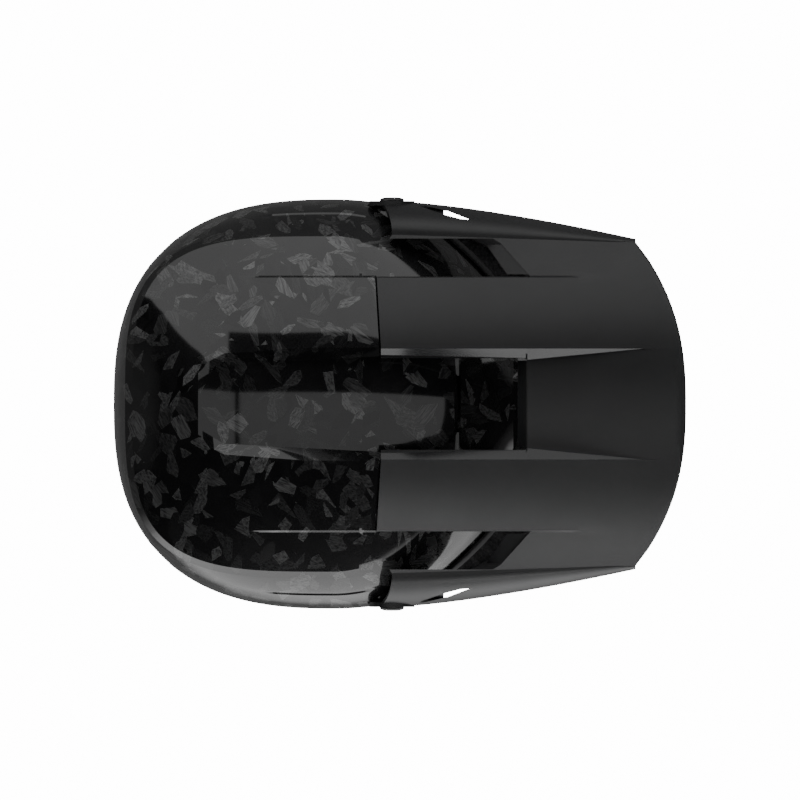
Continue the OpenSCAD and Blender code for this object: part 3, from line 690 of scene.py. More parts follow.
def forged_carbon(look):
    """Chopped carbon chips, pressed flat with straight edges and fine fibre streaks, under a clear coat;
    the chips' pale and dark tones and the streaks' brightness are partly painted sheen, the light that the
    fibres catch, added to the chips' tilted normals.
    """
    s = Shader("forged carbon")
    place = s.place()
    tone = s.range(s.noise(place, 45, 3, 0.6), 0.3, 0.7, 0.0, 0.05)
    flat = (0.5, 0.5, 0.5)
    tilt = shade(flat)
    for n, angle in enumerate((0.75, 1.0, 2.2, 0.5, 1.3, 2.7)):
        size = look.chip_size * MM * (1.25 - 0.11 * n)
        spot = s.map(place, (1, 1, 1), (0.16 * n, 0.3 - 0.13 * n, angle), (0.137 * n, 0.071 * n, 0.053 * n))
        chip = s.cells(s.map(spot, (1 / (size * 2.4), 1 / size, 1 / (size * 2.6))), 1.0)
        grey = s.parts(chip, 1)
        fibre = s.noise(s.map(spot, (45, 820, 820)), 1.0, 3, 0.7)
        here = grey.power(look.chip_contrast) * s.range(fibre, 0.34, 0.66, 0.12, 1.4)
        mask = s.parts(chip, 0).above(look.chip_share)
        tone = s.level(mask, tone, here)
        tilt = s.blend(mask, tilt, chip)
    lean = s.vector("SCALE", s.vector("SUBTRACT", tilt, flat), look.chip_tilt)
    face = s.leaned(s.node("ShaderNodeNewGeometry", output="Normal"), lean)
    # Painted sheen: the chips' base colour runs from the dark tone, where the fibres lie away from the
    # light, to the pale tone, where they catch it.
    base = s.blend(s.range(tone, 0.0, 0.9, 0, 1), shade(look.carbon_dark), shade(look.carbon_light))
    return s.finish(Base_Color=base, Roughness=s.range(tone, 0, 0.8, 0.5, 0.36), Metallic=0.35, Normal=face,
                    Specular_IOR_Level=0.06, Coat_Weight=1.0, Coat_Roughness=0.075, Coat_IOR=1.54)


def rib_wall(s, place):
    """A mask of the ribs' inner walls, between the foot line and the band's edge."""
    along, side = s.axis(place, 0), s.axis(place, 1).size()
    middle, front = PANEL_BACK * MM, (PANEL_BACK + RIB_RUN) * MM
    rear = s.range(along, VISOR_BACK * MM, middle, FOOT_REAR[0] * MM, FOOT_REAR[1] * MM)
    fore = s.range(along, middle, front, FOOT_FORE * MM, (BAND_IN - 0.4) * MM)
    return side.above(s.level(along.above(middle), rear, fore)) * side.below((BAND_IN - 0.5) * MM)


def matte_plastic(name, tint, rough=0.44, ribbed=False):
    """Moulded black plastic with a fine spark-eroded grain; ribs have polished inner walls."""
    s = Shader(name)
    place = s.place()
    grain = s.noise(place, 2600, 2, 0.6)
    cloud = s.noise(place, 24, 3)
    base = s.blend(s.range(cloud, 0.35, 0.65, 0, 1), shade(tint), shade(tint, 1.18))
    rub = s.noise(place, 9, 4, 0.65)
    matt = s.range(rub, 0.3, 0.7, rough - 0.05, rough + 0.06)
    normal = s.bump(grain, 0.25, 0.05)
    if ribbed:
        wall = rib_wall(s, place)
        matt = s.level(wall, matt, 0.17)
        normal = s.leaned(normal, s.vector("SCALE", (0, 0, 1), wall * 0.35))
    return s.finish(Base_Color=base, Roughness=matt, Normal=normal, Specular_IOR_Level=0.5)


def rubber():
    """Edging rubber, with a fine bloom and some dust."""
    s = Shader("edging rubber")
    place = s.place()
    fine = s.noise(place, 900, 3, 0.6)
    dust = s.noise(place, 30, 4, 0.6)
    base = s.blend(s.range(dust, 0.4, 0.75, 0, 1), (0.012, 0.012, 0.013, 1), (0.026, 0.026, 0.027, 1))
    return s.finish(Base_Color=base, Roughness=s.range(dust, 0.3, 0.7, 0.58, 0.72),
                    Normal=s.bump(fine, 0.3, 0.08))


def foam(look):
    """Expanded foam: beads pressed together, with fine dark joints."""
    s = Shader("liner foam")
    place = s.place()
    joint = s.cells(place, 300, "Distance", "DISTANCE_TO_EDGE")
    bead = s.parts(s.cells(place, 300))
    lit = s.blend(bead, shade(look.foam_colour), shade(look.foam_colour, 1.5))
    base = s.blend(s.range(joint, 0.0, 0.09, 0.55, 0.0), lit, (0.01, 0.01, 0.011, 1))
    height = s.range(joint, 0.0, 0.22, 0.0, 1.0) + bead * 0.2
    return s.finish(Base_Color=base, Roughness=0.74, Normal=s.bump(height, 0.55, 0.35))


def knit(look, name="pad knit", lift=1.0):
    """Wicking knit: rows of small loops, with painted shade between them and painted highlights on their
    tops, and slight fading.
    """
    s = Shader(name)
    place = s.place()
    x, y, z = (s.axis(place, n) for n in range(3))
    pitch = 2 * math.pi / (1.25 * MM)
    loops = ((x + z * 0.35) * pitch).wave() * ((y + z * 0.6) * pitch).wave()
    fuzz = s.noise(place, 2200, 3, 0.7)
    fade = s.noise(place, 38, 4, 0.6)
    # Painted shade and highlights: the loops' wave darkens the knit between the loops and lightens their
    # tops; fuzz and fade add the knit's own uneven tone.
    base = s.blend(s.range(loops + fuzz * 0.6 + fade * 0.5, -0.4, 1.4, 0, 1),
                   shade(look.cloth_colour, 0.4), shade(look.cloth_colour, 1.5 * lift))
    return s.finish(Base_Color=base, Roughness=0.86, Sheen_Weight=0.35, Sheen_Roughness=0.5,
                    Normal=s.bump(loops + fuzz * 0.5, 0.6, 0.35))


def webbing(look):
    """Woven strap: a herringbone of flat yarns with firm edges, with painted shade in the weave's hollows
    and painted highlights on its raised yarns.
    """
    s = Shader("strap webbing")
    place = s.place()
    x, y, z = (s.axis(place, n) for n in range(3))
    pitch = 2 * math.pi / (1.7 * MM)
    rows = ((y + z * 0.4) * pitch + (x * (0.5 * pitch)).wave() * 1.6).wave()
    yarn = (x * (pitch * 1.6)).wave()
    fuzz = s.noise(place, 1800, 3, 0.7)
    height = rows * 0.7 + yarn * rows * 0.4 + fuzz * 0.3
    # Painted shade and highlights: the weave's height, which also drives the bump, darkens the hollows and
    # lightens the raised yarns.
    base = s.blend(s.range(height, -1.0, 1.2, 0, 1),
                   shade(look.webbing_colour, 0.45), shade(look.webbing_colour, 1.7))
    return s.finish(Base_Color=base, Roughness=0.7, Sheen_Weight=0.2, Normal=s.bump(height, 0.7, 0.4))


def sewing_thread():
    """Twisted thread, paler along its strands."""
    s = Shader("sewing thread")
    twist = s.noise(s.map(s.place(), (900, 900, 2600)), 1.0, 2)
    base = s.blend(s.range(twist, 0.3, 0.7, 0, 1), (0.03, 0.031, 0.034, 1), (0.07, 0.072, 0.078, 1))
    return s.finish(Base_Color=base, Roughness=0.55, Normal=s.bump(twist, 0.5, 0.15))


def metal(name, tint, rough):
    """Machined or pressed metal with fine turning marks and light handling wear."""
    s = Shader(name)
    place = s.place()
    marks = s.noise(s.map(place, (300, 4200, 300)), 1.0, 2)
    wear = s.noise(place, 160, 4, 0.6)
    base = s.blend(s.range(wear, 0.35, 0.7, 0, 1), shade(tint), shade(tint, 0.72))
    return s.finish(Base_Color=base, Metallic=1.0, Normal=s.bump(marks, 0.18, 0.03),
                    Roughness=s.range(wear, 0.3, 0.75, rough, rough + 0.14))


# Sizes and colours that a user would change

class HelmetLook(bpy.types.PropertyGroup):
    chip_size: bpy.props.FloatProperty(
        name="Chip size", description="Width of the carbon chips, in millimetres",
        default=6.6, min=3, max=30)
    chip_tilt: bpy.props.FloatProperty(
        name="Chip tilt", description="How unevenly the chips lie and catch the light",
        default=0.3, min=0, max=1)
    chip_contrast: bpy.props.FloatProperty(
        name="Chip contrast", description="How far the palest chips stand out",
        default=2.2, min=1, max=6)
    chip_share: bpy.props.FloatProperty(
        name="Chip gaps", description="Share of the surface in each layer that no chip covers",
        default=0.885, min=0.3, max=0.99)
    carbon_dark: bpy.props.FloatVectorProperty(
        name="Dark chips", description="Colour of the chips that lie away from the light", subtype="COLOR",
        default=(0.006, 0.006, 0.0065), min=0, max=1)
    carbon_light: bpy.props.FloatVectorProperty(
        name="Light chips", description="Colour of the chips that catch the light", subtype="COLOR",
        default=(0.105, 0.106, 0.106), min=0, max=1)
    visor_colour: bpy.props.FloatVectorProperty(
        name="Visor", description="Colour of the visor's moulded plastic", subtype="COLOR",
        default=(0.014, 0.0143, 0.015), min=0, max=1)
    foam_colour: bpy.props.FloatVectorProperty(
        name="Foam", description="Colour of the liner foam", subtype="COLOR",
        default=(0.021, 0.021, 0.022), min=0, max=1)
    cloth_colour: bpy.props.FloatVectorProperty(
        name="Pads", description="Colour of the comfort pads' knit", subtype="COLOR",
        default=(0.02, 0.021, 0.024), min=0, max=1)
    webbing_colour: bpy.props.FloatVectorProperty(
        name="Strap", description="Colour of the strap's webbing", subtype="COLOR",
        default=(0.022, 0.022, 0.024), min=0, max=1)


class HelmetSizes(bpy.types.PropertyGroup):
    edge: bpy.props.FloatProperty(
        name="Edge", description="Width of the broken edges on the shell, in millimetres",
        default=0.45, min=0.1, max=1.5)
    visor_edge: bpy.props.FloatProperty(
        name="Visor edge", description="Width of the broken edges on the visor, in millimetres",
        default=0.8, min=0.1, max=1.1)
    groove: bpy.props.FloatProperty(
        name="Side groove", description="Depth of the groove along the side panels, in millimetres",
        default=0.7, min=0, max=1.5)


def look():
    return bpy.context.scene.helmet_look


def sizes():
    return bpy.context.scene.helmet_sizes


# The shell

STATION_STEPS = [4, 5, 3, 4, 3, 10, 9, 7, 6, 1, 8, 8, 1, 6, 6]
LINES = [0, 1, 2, 3, 4, STEP_FOOT, CORNER]
LINE_STEPS = [9, 4, 6, 6, 2, 7]
PORT_STEPS = 144
INSERT_R = 4.6
BOSS_R, BOSS_FOOT_R = 9.5, 15.5
BOSS_HIGH, BOSS_NECK = 14.0, 7.0
EAR_ROOM = 1.2
GROOVE_X = (-86.0, -15.0)
GROOVE_RUN = 10.0

# Air ways: half width, half height and corner of a slot, then its x, z, turn and lean on the wall

SLOT_REACH = (-60, 20)
REAR_SLOT, REAR_AT = (8, 17, 7), (-148, 132, 146, 0)
SIDE_SLOT, SIDE_AT = (5, 13, 4.5), ((86, 52, 42, 18), (64, 52, 54, 18))
CHIN_SLOT, CHIN_REACH, CHIN_Z = (32, 15, 8), (60, 140), 50
BROW_VENTS = (0, 21)


def egg(name, d, low):
    """The crown and the walls under it, drawn in by d, open at the height low."""
    i_places = spread(list(range(LAST + 1)), STATION_STEPS)
    j_places = both_ways(spread(LINES, LINE_STEPS))
    grid = [[crown_pt(i, j, d) for j in j_places] for i in i_places]
    rows, columns = len(i_places), len(j_places)
    crown = sheet_of(name, lambda i, j: grid[i][j], rows - 1, columns - 1)
    rim = [(rows - 1, j) for j in range(columns)] + [(i, columns - 1) for i in range(rows - 2, 0, -1)]
    rim += [(0, j) for j in range(columns - 1, -1, -1)] + [(i, 0) for i in range(1, rows - 1)]
    foot = []
    for i, j in rim:
        x, y, z = grid[i][j]
        if i == rows - 1:
            q = turn_fore(abs(y), d)
        elif i == 0:
            q = turn_back(abs(y), d)
        else:
            q = turn_side(x, d)
        level = dome(x, abs(y), d)
        foot.append((math.copysign(q, j_places[j]), level, z - level, (x, y, z)))
    levels = {n / 36 for n in range(2, 35)} | {CHIN_T, WIDE_T, 0.82, CAP_T, STRIP_T}
    levels = sorted(levels | {GROOVE_T + n * GROOVE_STEP for n in (-2, -1, 1, 2)})

    def wall(i, j):
        q, level, drop, top = foot[i % len(foot)]
        if j == len(levels) + 1:
            return top
        t = low / level if j == 0 else levels[j - 1]
        x, y = outline(q, t, d)
        if d == 0 and abs(t - GROOVE_T) < 1.5 * GROOVE_STEP:
            run_in, run_out = smooth((x - GROOVE_X[0]) / GROOVE_RUN), smooth((GROOVE_X[1] - x) / GROOVE_RUN)
            y -= math.copysign(sizes().groove * run_in * run_out, q)
        return x, y, t * level + drop * max(0.0, t - CAP_T) / (1 - CAP_T)

    walls = sheet_of(name + "_wall", wall, len(foot), len(levels) + 1)
    creases = (levels.index(STRIP_T) + 1, len(levels) + 1)
    for edge in walls.data.edges:
        row, other = (v // (len(foot) + 1) for v in edge.vertices)
        edge.use_seam = row == other and row in creases
    return closed_up(crown, walls), [wall(i, 0) for i in range(len(foot) + 1)]


def port_tool():
    """The wedge that the eye port cuts, from a hub inside the shell to one in front of it."""
    loop = [port_pt(k * 360 / PORT_STEPS, 0, 0) for k in range(PORT_STEPS)]
    middle = (PORT_TOP + PORT_BOTTOM) / 2

    def place(i, j):
        if j in (0, 3):
            return WIDE_X + (260 if j else 60), 0, middle
        share = j - 0.5
        x, y, z = loop[i % PORT_STEPS]
        return mix(WIDE_X, x, share), y * share, z

    return closed_up(sheet_of("port tool", place, PORT_STEPS, 3))


def brow_vent(side, out):
    """A slot through the shell beside the channel; the outer one is shorter."""
    y = side * (BAND_IN + 10 + out)
    ends = [(x, y, z) for z in (120, 262) for x in (20, 44 - out * 0.5)]
    return hull_of("vent tool", rounded(ends, 5, 24))


def slot_bar(reach, size, to_world):
    """A bar with rounded corners along +X of its own frame."""
    half_w, half_h, r = size
    turns = [2 * math.pi * n / 16 for n in range(16)]
    points = [to_world(x, sy * (half_w - r) + r * math.cos(a), sz * (half_h - r) + r * math.sin(a))
              for x in reach for sy in (-1, 1) for sz in (-1, 1) for a in turns]
    return hull_of("vent tool", points)


def wall_frame(at_x, at_z, turn, lean, side):
    """Frame of a vent on the wall: its own +X points out of the shell; turn and lean are in degrees."""
    px, py, pz = side_pt(at_x, at_z, 0)
    turn, lean = math.radians(turn), math.radians(lean)

    def to_world(x, y, z):
        y, z = y * math.cos(lean) - z * math.sin(lean), y * math.sin(lean) + z * math.cos(lean)
        wx = px + x * math.cos(turn) - y * math.sin(turn)
        wy = py + x * math.sin(turn) + y * math.cos(turn)
        return wx, side * wy, pz + z

    return to_world


def tongue_tools():
    """The gap between the channel's tongue and the brow."""
    z = dome(CHANNEL_FRONT, 0, 0) - CHANNEL_DEPTH - SHELL_WALL - 0.4
    f = CHANNEL_FRONT
    low = [(x, y, h) for x in (f - 12, f + 4) for y in (-24, 24) for h in (z - 7, z)]
    low += [(x, y, h) for x in (f - 42, f - 28) for y in (-16, 16) for h in (z - 32, z - 22)]
    tools = [hull_of("gap tool", low)]
    for side in (-1, 1):
        corner = [(f - 9.5, 29.6), (f + 0.2, 17.6), (f + 3, 17.6), (f + 3, 29.6)]
        tools.append(hull_of("gap tool", [(x, side * y, h) for x, y in corner for h in (z - 10, z + 14)]))
    return tools


class HELMET_OT_shell(bpy.types.Operator):
    """Lofts the carbon shell with its raised bands, channel, bevelled shoulder and air ways"""
    bl_idname = "helmet.shell"
    bl_label = "Outer Shell"

    def execute(self, context):
        outer, outer_foot = egg("outer_shell_finish", 0, RIM_LIFT)
        edges_broken(outer, sizes().edge, 15, lambda p: p.z > 150 and not -24 < p.x < -11.5)
        inner, inner_foot = egg("inner", SHELL_WALL, RIM_LIFT)
        feet = (outer_foot, inner_foot)
        shell = closed_up(outer, inner, sheet_of("lip", lambda i, j: feet[j][i], len(outer_foot) - 1, 1))
        sides = (-1, 1)
        for side in sides:
            cut(shell, self.boss(seat(), side), "UNION")
        tools = [port_tool()] + [brow_vent(side, out) for side in sides for out in BROW_VENTS]
        tools += tongue_tools()
        tools += [slot_bar(SLOT_REACH, REAR_SLOT, wall_frame(*REAR_AT, side)) for side in sides]
        tools += [slot_bar(SLOT_REACH, SIDE_SLOT, wall_frame(*at, side))
                  for side in sides for at in SIDE_AT]
        tools.append(slot_bar(CHIN_REACH, CHIN_SLOT, lambda x, y, z: (x, y, CHIN_Z + z)))
        face = ear_half()
        for side in sides:
            tools.append(pivot_rod("bore tool", INSERT_R, 90, 140, side))
            tools.append(pivot_rod("ear room", EAR_R + EAR_ROOM, face - 3.4, face + 9, side, 64))
        for tool in tools:
            cut(shell, tool)
        evened(softened(shell, 30))
        on_body(shell, "helmet", "shell_carbon", forged_carbon(look()), "outer_shell")
        return {"FINISHED"}

    def boss(self, face, side):
        """The seat of the visor's ear, with a spread foot."""
        tool = pivot_rod("boss", BOSS_R, face - BOSS_HIGH, face, side)
        grow = BOSS_FOOT_R / BOSS_R
        x, z = PIVOT[0] * MM, PIVOT[1] * MM
        for v in tool.data.vertices:
            if abs(v.co.y) < (face - BOSS_NECK) * MM:
                v.co.x, v.co.z = x + (v.co.x - x) * grow, z + (v.co.z - z) * grow
        return tool


# The visor

VISOR_X = [VISOR_BACK, 0, 16, 32, 48, 64, PANEL_BACK - 1, PANEL_BACK,
           92, 106, 120, 134, 148, 162, VISOR_FRONT]
VISOR_STEPS = [3, 3, 3, 3, 3, 3, 1, 3, 3, 3, 3, 3, 3, 4]
VISOR_LINE_STEPS = [4, 4, 4, 4, 4, 4, 1, 4, 4, 4, 3, 3, 3]
WING = 9
VISOR_LINES = 13
WING_RUN = 155.0
BUSH_R = 6.15
HEAD_SEAT = (7.7, 0.34)
WEB_Y = (BAND_OUT + 2, 98.8)


def foot_y(x):
    """Foot line of a rib's inner wall, behind and along the sunk panel."""
    if x < PANEL_BACK:
        return mix(*FOOT_REAR, clamp01((x - VISOR_BACK) / (PANEL_BACK - VISOR_BACK)))
    return mix(FOOT_FORE, BAND_IN - 0.7, clamp01((x - PANEL_BACK) / RIB_RUN))


def sink(x):
    """Depth of the sunk panel."""
    near = 1 - 0.34 * (1 - smooth((x - VISOR_BACK) / 26))
    return PANEL_DEPTH * near * (1 - smooth((x - PANEL_BACK) / 84))


def side_drop(x):
    """How far the visor's sides lie under its ribs."""
    return (BAND_RISE - 1.8) * (1 - smooth((x - 60) / 80))


def visor_front(y):
    """The swept front edge."""
    sweep, power = FRONT_SWEEP
    return VISOR_FRONT - sweep * y ** power


def ear_half():
    """Distance of the ears' outer faces from the middle."""
    return seat() + EAR_GAP + EAR_WALL + EAR_FACE


def wing_yz(x, turn):
    """The wing's face at a turn from its top edge, 0, to its lower edge, a quarter turn."""
    share = clamp01((x - PIVOT[0]) / WING_RUN)
    low_y = mix(ear_half(), VISOR_HALF_FRONT + 0.6, share ** 1.4)
    low_z = mix(PIVOT[1] - 8, SIDE_Z, share)
    top_y = mix(105, 100.4, clamp01((x - PIVOT[0]) / 140))
    top_z = visor_top(x, top_y) - side_drop(x)
    return mix(top_y, low_y, math.sin(turn)), mix(top_z, low_z, 1 - math.cos(turn))


def visor_pt(i, j):
    """Point of the visor's outer face: i counts stations from the rear, j counts lines from the middle."""
    k = abs(j)
    x0 = between(VISOR_X, i)
    last = len(VISOR_X) - 1
    if k <= WING - 1:
        y = between([0, 14, foot_y(x0), BAND_IN - 0.6, 49, 64, BAND_OUT, EDGE_LINE, 90], k)
        start = seam_x(y) + SEAM_GAP + 0.2
        x = min(mix(start, x0, clamp01((x0 - VISOR_BACK) / 12)), visor_front(y) - 4 * (last - i))
        drops = [sink(x0)] * 3 + [0] * 4 + [side_drop(x0)] * 2
        lip = 0.6 * clamp01(i - last + 1) + 1.3 * clamp01(4 * (i - last) + 1)
        return [x, math.copysign(y, j), visor_top(x, y) - between(drops, k) - lip]
    if k < WING:
        a, b = visor_pt(i, WING - 1), visor_pt(i, WING)
        f = k - WING + 1
        return [mix(a[0], b[0], f), math.copysign(mix(a[1], b[1], f), j), mix(a[2], b[2], f)]
    share = (k - WING) / (VISOR_LINES - WING)
    start = PIVOT[0] - 11 * share * share
    x = mix(start, visor_front(VISOR_HALF_FRONT), (x0 - VISOR_BACK) / (VISOR_FRONT - VISOR_BACK))
    y, z = wing_yz(x, math.pi / 2 * share)
    return [x, math.copysign(y, j), z]


class HELMET_OT_visor(bpy.types.Operator):
    """Lofts the visor with its ribs, sunk panel, openings and wings"""
    bl_idname = "helmet.visor"
    bl_label = "Visor"

    def execute(self, context):
        i_places = spread(list(range(len(VISOR_X))), VISOR_STEPS)
        j_places = both_ways(spread(list(range(VISOR_LINES + 1)), VISOR_LINE_STEPS))
        grid = [[visor_pt(i, j) for j in j_places] for i in i_places]
        visor = sheet_of("visor_finish", lambda i, j: grid[i][j], len(i_places) - 1, len(j_places) - 1)
        closed_up(visor)
        if sum(f.normal.z for f in visor.data.polygons) < 0:
            edited(visor, bpy.ops.mesh.flip_normals)
        applied(visor, "SOLIDIFY", thickness=VISOR_WALL * MM, offset=-1, use_even_offset=True,
                thickness_clamp=1.0)
        edges_broken(visor, sizes().visor_edge)
        for side in (-1, 1):
            self.open_side(visor, side)
        x, y = (VISOR_BACK - 28, PANEL_BACK - 2.4), FLOOR_HALF - 4.6
        z = (SIDE_Z - 16, SIDE_Z + CROWN_RISE + 44)
        centre = rounded([(a, b, c) for a in x for b in (-y, y) for c in z], 2.4, 20)
        cut(visor, hull_of("opening tool", centre))
        cut(visor, self.flange(), "UNION")
        face = ear_half()
        seat_r, seat_depth = HEAD_SEAT
        for side in (-1, 1):
            cut(visor, pivot_rod("ear", EAR_R, face - 2.9, face - 0.02, side, 64), "UNION")
            cut(visor, pivot_rod("bore", BUSH_R, face - 6, face + 6, side))
            cut(visor, pivot_rod("head seat", seat_r, face - seat_depth, face + 6, side, 64))
        evened(softened(visor, 30))
        plastic = matte_plastic("visor plastic", look().visor_colour, ribbed=True)
        on_body(visor, "visor", "visor_matte", plastic, "visor")
        lit = bpy.data.collections.get(VISOR_LIT)
        if lit is not None:
            lit.objects.link(visor)
        return {"FINISHED"}

    def open_side(self, visor, side):
        """Cuts the side opening and the wing's slot, with the slot's floor and the opening's front web."""
        wide, z = VISOR_HALF_FRONT + 1.6, (SIDE_Z - 26, SIDE_Z + CROWN_RISE + 40)
        opening = ((-30, BAND_OUT + 0.6), (-30, wide), (PANEL_BACK + 2, BAND_OUT + 0.6),
                   (PANEL_BACK - 16.7, wide - 2.8), (PANEL_BACK - 21.5, wide))
        slot = ((16.5, 123.8), (34, 119.8), (47.9, 114.4), (42.6, 114.8), (33, 117.3), (18.4, 122.2))
        slot = [(PIVOT[0] + x, y) for x, y in slot]
        for corners in (opening, slot):
            cut(visor, hull_of("opening tool", [(x, side * y, h) for x, y in corners for h in z]))
        plate = sheet_of("slot plate", lambda i, j: self.under_slot(i, j, side), 6, 6)
        applied(plate, "SOLIDIFY", thickness=1.2 * MM, offset=0)
        cut(visor, closed_up(plate), "UNION")
        cut(visor, self.web(side), "UNION")

    def flange(self):
        """The turned-down rear edge of the sunk panel."""
        profile = [(1.6, -0.7), (0.4, -0.1), (-0.6, -0.5), (-5.2, -8.2), (-6.1, -9.1), (-5.6, -10),
                   (-4.4, -9.8), (-3.6, -9), (1.2, -2.1)]
        sections = []
        for n in range(19):
            y = mix(-26.9, 26.9, n / 18)
            top = visor_top(PANEL_BACK, y) - sink(PANEL_BACK)
            sections.append([(PANEL_BACK + x, y, top + z) for x, z in profile])
        return ring_of("flange", sections, closed=False)

    def web(self, side):
        """The turned-in front edge of a side opening."""
        points = []
        for x, y, drop in ((1.2, WEB_Y[0], 1.2), (-16.2, WEB_Y[1], 1.2),
                           (-12.6, WEB_Y[0], 8.2), (-25.6, WEB_Y[1], 8.2)):
            x += PANEL_BACK
            z = visor_top(x, y) - side_drop(x) - drop
            points += [(x, side * y, z), (x, side * y, z - 1.5)]
        return hull_of("web", points)

    def under_slot(self, i, j, side):
        """The floor of the slot's rear half, sunk under the wing's face."""
        x = mix(PIVOT[0] + 11, PIVOT[0] + 32, i / 6)
        turn = mix(0.3, 1.2, j / 6)
        y, z = wing_yz(x, turn)
        sunk = mix(1.6, 5.2, math.sin(math.pi * j / 6) * math.sin(math.pi * i / 6))
        return x, side * (y - sunk * math.sin(turn)), z - sunk * math.cos(turn)


# Edgings

class HELMET_OT_edgings(bpy.types.Operator):
    """Sweeps the rubber edgings round the eye port and the lower rim"""
    bl_idname = "helmet.edgings"
    bl_label = "Edgings"

    def execute(self, context):
        w = SHELL_WALL
        lip = [(-1.9, -1.2), (-1.2, -1.9), (3.4, -1.9), (4, -1.5), (4, -0.8), (-0.7, -0.8), (-0.7, w + 0.9),
               (2.2, w + 0.9), (2.2, w + 2), (-1.3, w + 2), (-1.9, w + 1.4)]
        turns = [k * 360 / PORT_STEPS for k in range(PORT_STEPS)]
        port = ring_of("eye_port_edging_finish", [[port_pt(q, grow, d) for grow, d in lip] for q in turns])
        lift = RIM_LIFT - 0.1
        foot = [(-1.5, 0.6), (-0.9, 0), (13.4, 0), (14, 0.6), (14, lift), (-0.35, lift),
                (-0.35, 9), (-1.1, 9), (-1.5, 8.6)]
        base = ring_of("base_edging_finish", [[rim_pt(q, z, d) for d, z in foot] for q in turns])
        material = rubber()
        for piece, node in ((port, "eye_port_edging"), (base, "base_edging")):
            on_body(softened(piece, 40), "helmet", "edging_rubber", material, node)
        return {"FINISHED"}


# Comfort liner: each pad is a place(a, b, f), a and b across it and f from its back, 0, to its face, 1

PAD_CELL = 4.0
CHANNEL_DIP = 3.0
STITCH = 3.4


def sewn(way, *places):
    """Sewn lines across a pad, "a" or "b", at shares of it, or a "ring" at a distance from its edge."""
    return [(way, at) for at in places]


def warped(a, b):
    """Draws the sides in between the corners, and rounds the corners."""
    u, v = 2 * a - 1, 2 * b - 1
    corner = 1 - 0.07 * abs(u * v) ** 4
    return (1 + u * (1 - 0.04 * (1 - v * v)) * corner) / 2, (1 + v * (1 - 0.04 * (1 - u * u)) * corner) / 2


def fullness(a, b):
    """Share of its thickness that a pad has at a place: none at its seam."""
    u, v = abs(2 * a - 1), abs(2 * b - 1)
    return math.sqrt(max(0.0, (1 - u ** 6) * (1 - v ** 6)))


def dome_place(x0, x1, half, thick):
    """A pad under the crown, between two places along it."""
    def place(a, b, f):
        x, y = mix(x0, x1, a), mix(-half, half, b)
        return x, y, dome(x, y, PAD_D + 0.6) - thick * f
    return place


def wall_place(q0, q1, z0, z1, d, thick):
    """A pad on the wall, between two turns in degrees and two heights."""
    return lambda a, b, f: rim_pt(mix(q0, q1, a), mix(z1, z0, b), d + thick * f)


def cheek_place(a, b, f):
    """The left cheek pad, cut off flat towards the face."""
    x, y, z = rim_pt(mix(52, 84, a), mix(100, 8, b), PAD_D + 3)
    return x, mix(y, min(y - 2, CHEEK_GAP), f), z


def channel_gap(channels, a, b, wide, high):
    """Distance in millimetres to the nearest sewn line."""
    edge = min(a * wide, (1 - a) * wide, b * high, (1 - b) * high)
    gaps = {"a": lambda at: (a - at) * wide, "b": lambda at: (b - at) * high, "ring": lambda at: edge - at}
    return min([50.0] + [abs(gaps[kind](at)) for kind, at in channels])


def channel_lines(channels, wide, high):
    """The sewn lines as lists of places on the pad."""
    lines = []
    for kind, at in channels:
        if kind == "ring":
            u, v = at / wide, at / high
            corners = [(u, v), (1 - u, v), (1 - u, 1 - v), (u, 1 - v), (u, v)]
            lines.append([(mix(p[0], q[0], n / 24), mix(p[1], q[1], n / 24))
                          for p, q in zip(corners[:-1], corners[1:]) for n in range(24)] + [corners[0]])
        else:
            run = [mix(0.07, 0.93, n / 40) for n in range(41)]
            lines.append([(at, c) if kind == "a" else (c, at) for c in run])
    return lines


def plumped(piece, cap=5.0):
    """Blows a sewn pad up as cloth; no point moves more than the cap, in millimetres."""
    pick(piece)
    start = [v.co.copy() for v in piece.data.vertices]
    cloth = piece.modifiers.new("Cloth", "CLOTH")
    cloth.settings.use_pressure = True
    cloth.settings.uniform_pressure_force = 4
    cloth.settings.effector_weights.gravity = 0
    for number in range(1, 21):
        bpy.context.scene.frame_set(number)
    bpy.ops.object.modifier_apply(modifier=cloth.name)
    bpy.context.scene.frame_set(1)
    for v, old in zip(piece.data.vertices, start):
        step = v.co - old
        if step.length > cap * MM:
            v.co = old + step * (cap * MM / step.length)
    return piece


def pad(name, place, wide, high, channels):
    """A stuffed pad with its seam on the edge and its sewn channels."""
    columns, rows = round(wide / PAD_CELL), round(high / PAD_CELL)

    def side(full):
        def at(i, j):
            a, b = i / columns, j / rows
            return place(*warped(a, b), fullness(a, b) * full)
        piece = sheet_of(name, at, columns, rows)
        for key in "ab":
            piece.data.attributes.new(key, "FLOAT", "POINT")
        for v in piece.data.vertices:
            piece.data.attributes["a"].data[v.index].value = (v.index % (columns + 1)) / columns
            piece.data.attributes["b"].data[v.index].value = (v.index // (columns + 1)) / rows
        return piece

    piece = plumped(closed_up(side(0.9), side(0.06), gap=0.01 * MM))
    applied(piece, "SUBSURF", levels=2, render_levels=2)
    mesh = piece.data
    across, along = mesh.attributes["a"].data, mesh.attributes["b"].data
    for v in mesh.vertices:
        a, b = across[v.index].value, along[v.index].value
        u, w = warped(a, b)
        back, face = Vector(place(u, w, 0.0)) * MM, Vector(place(u, w, 1.0)) * MM
        out = face - back
        thick = out.length
        out.normalize()
        height = (v.co - back).dot(out)
        if height < 0.3 * MM:
            v.co += out * (0.3 * MM - height)
            continue
        gap = channel_gap(channels, a, b, wide, high)
        dip = min(CHANNEL_DIP * MM, 0.6 * thick) * math.exp(-(gap / 2.3) ** 2)
        limit = min(height, thick)
        v.co += out * (limit - height - min(dip, max(0.0, limit - 0.8 * MM)))
    return softened(piece, 60)


def stitch_swell(n):
    """How thick a stitch is at step n of the line: each stitch has six steps."""
    return math.sqrt(abs(math.sin(math.pi * n / 6)))


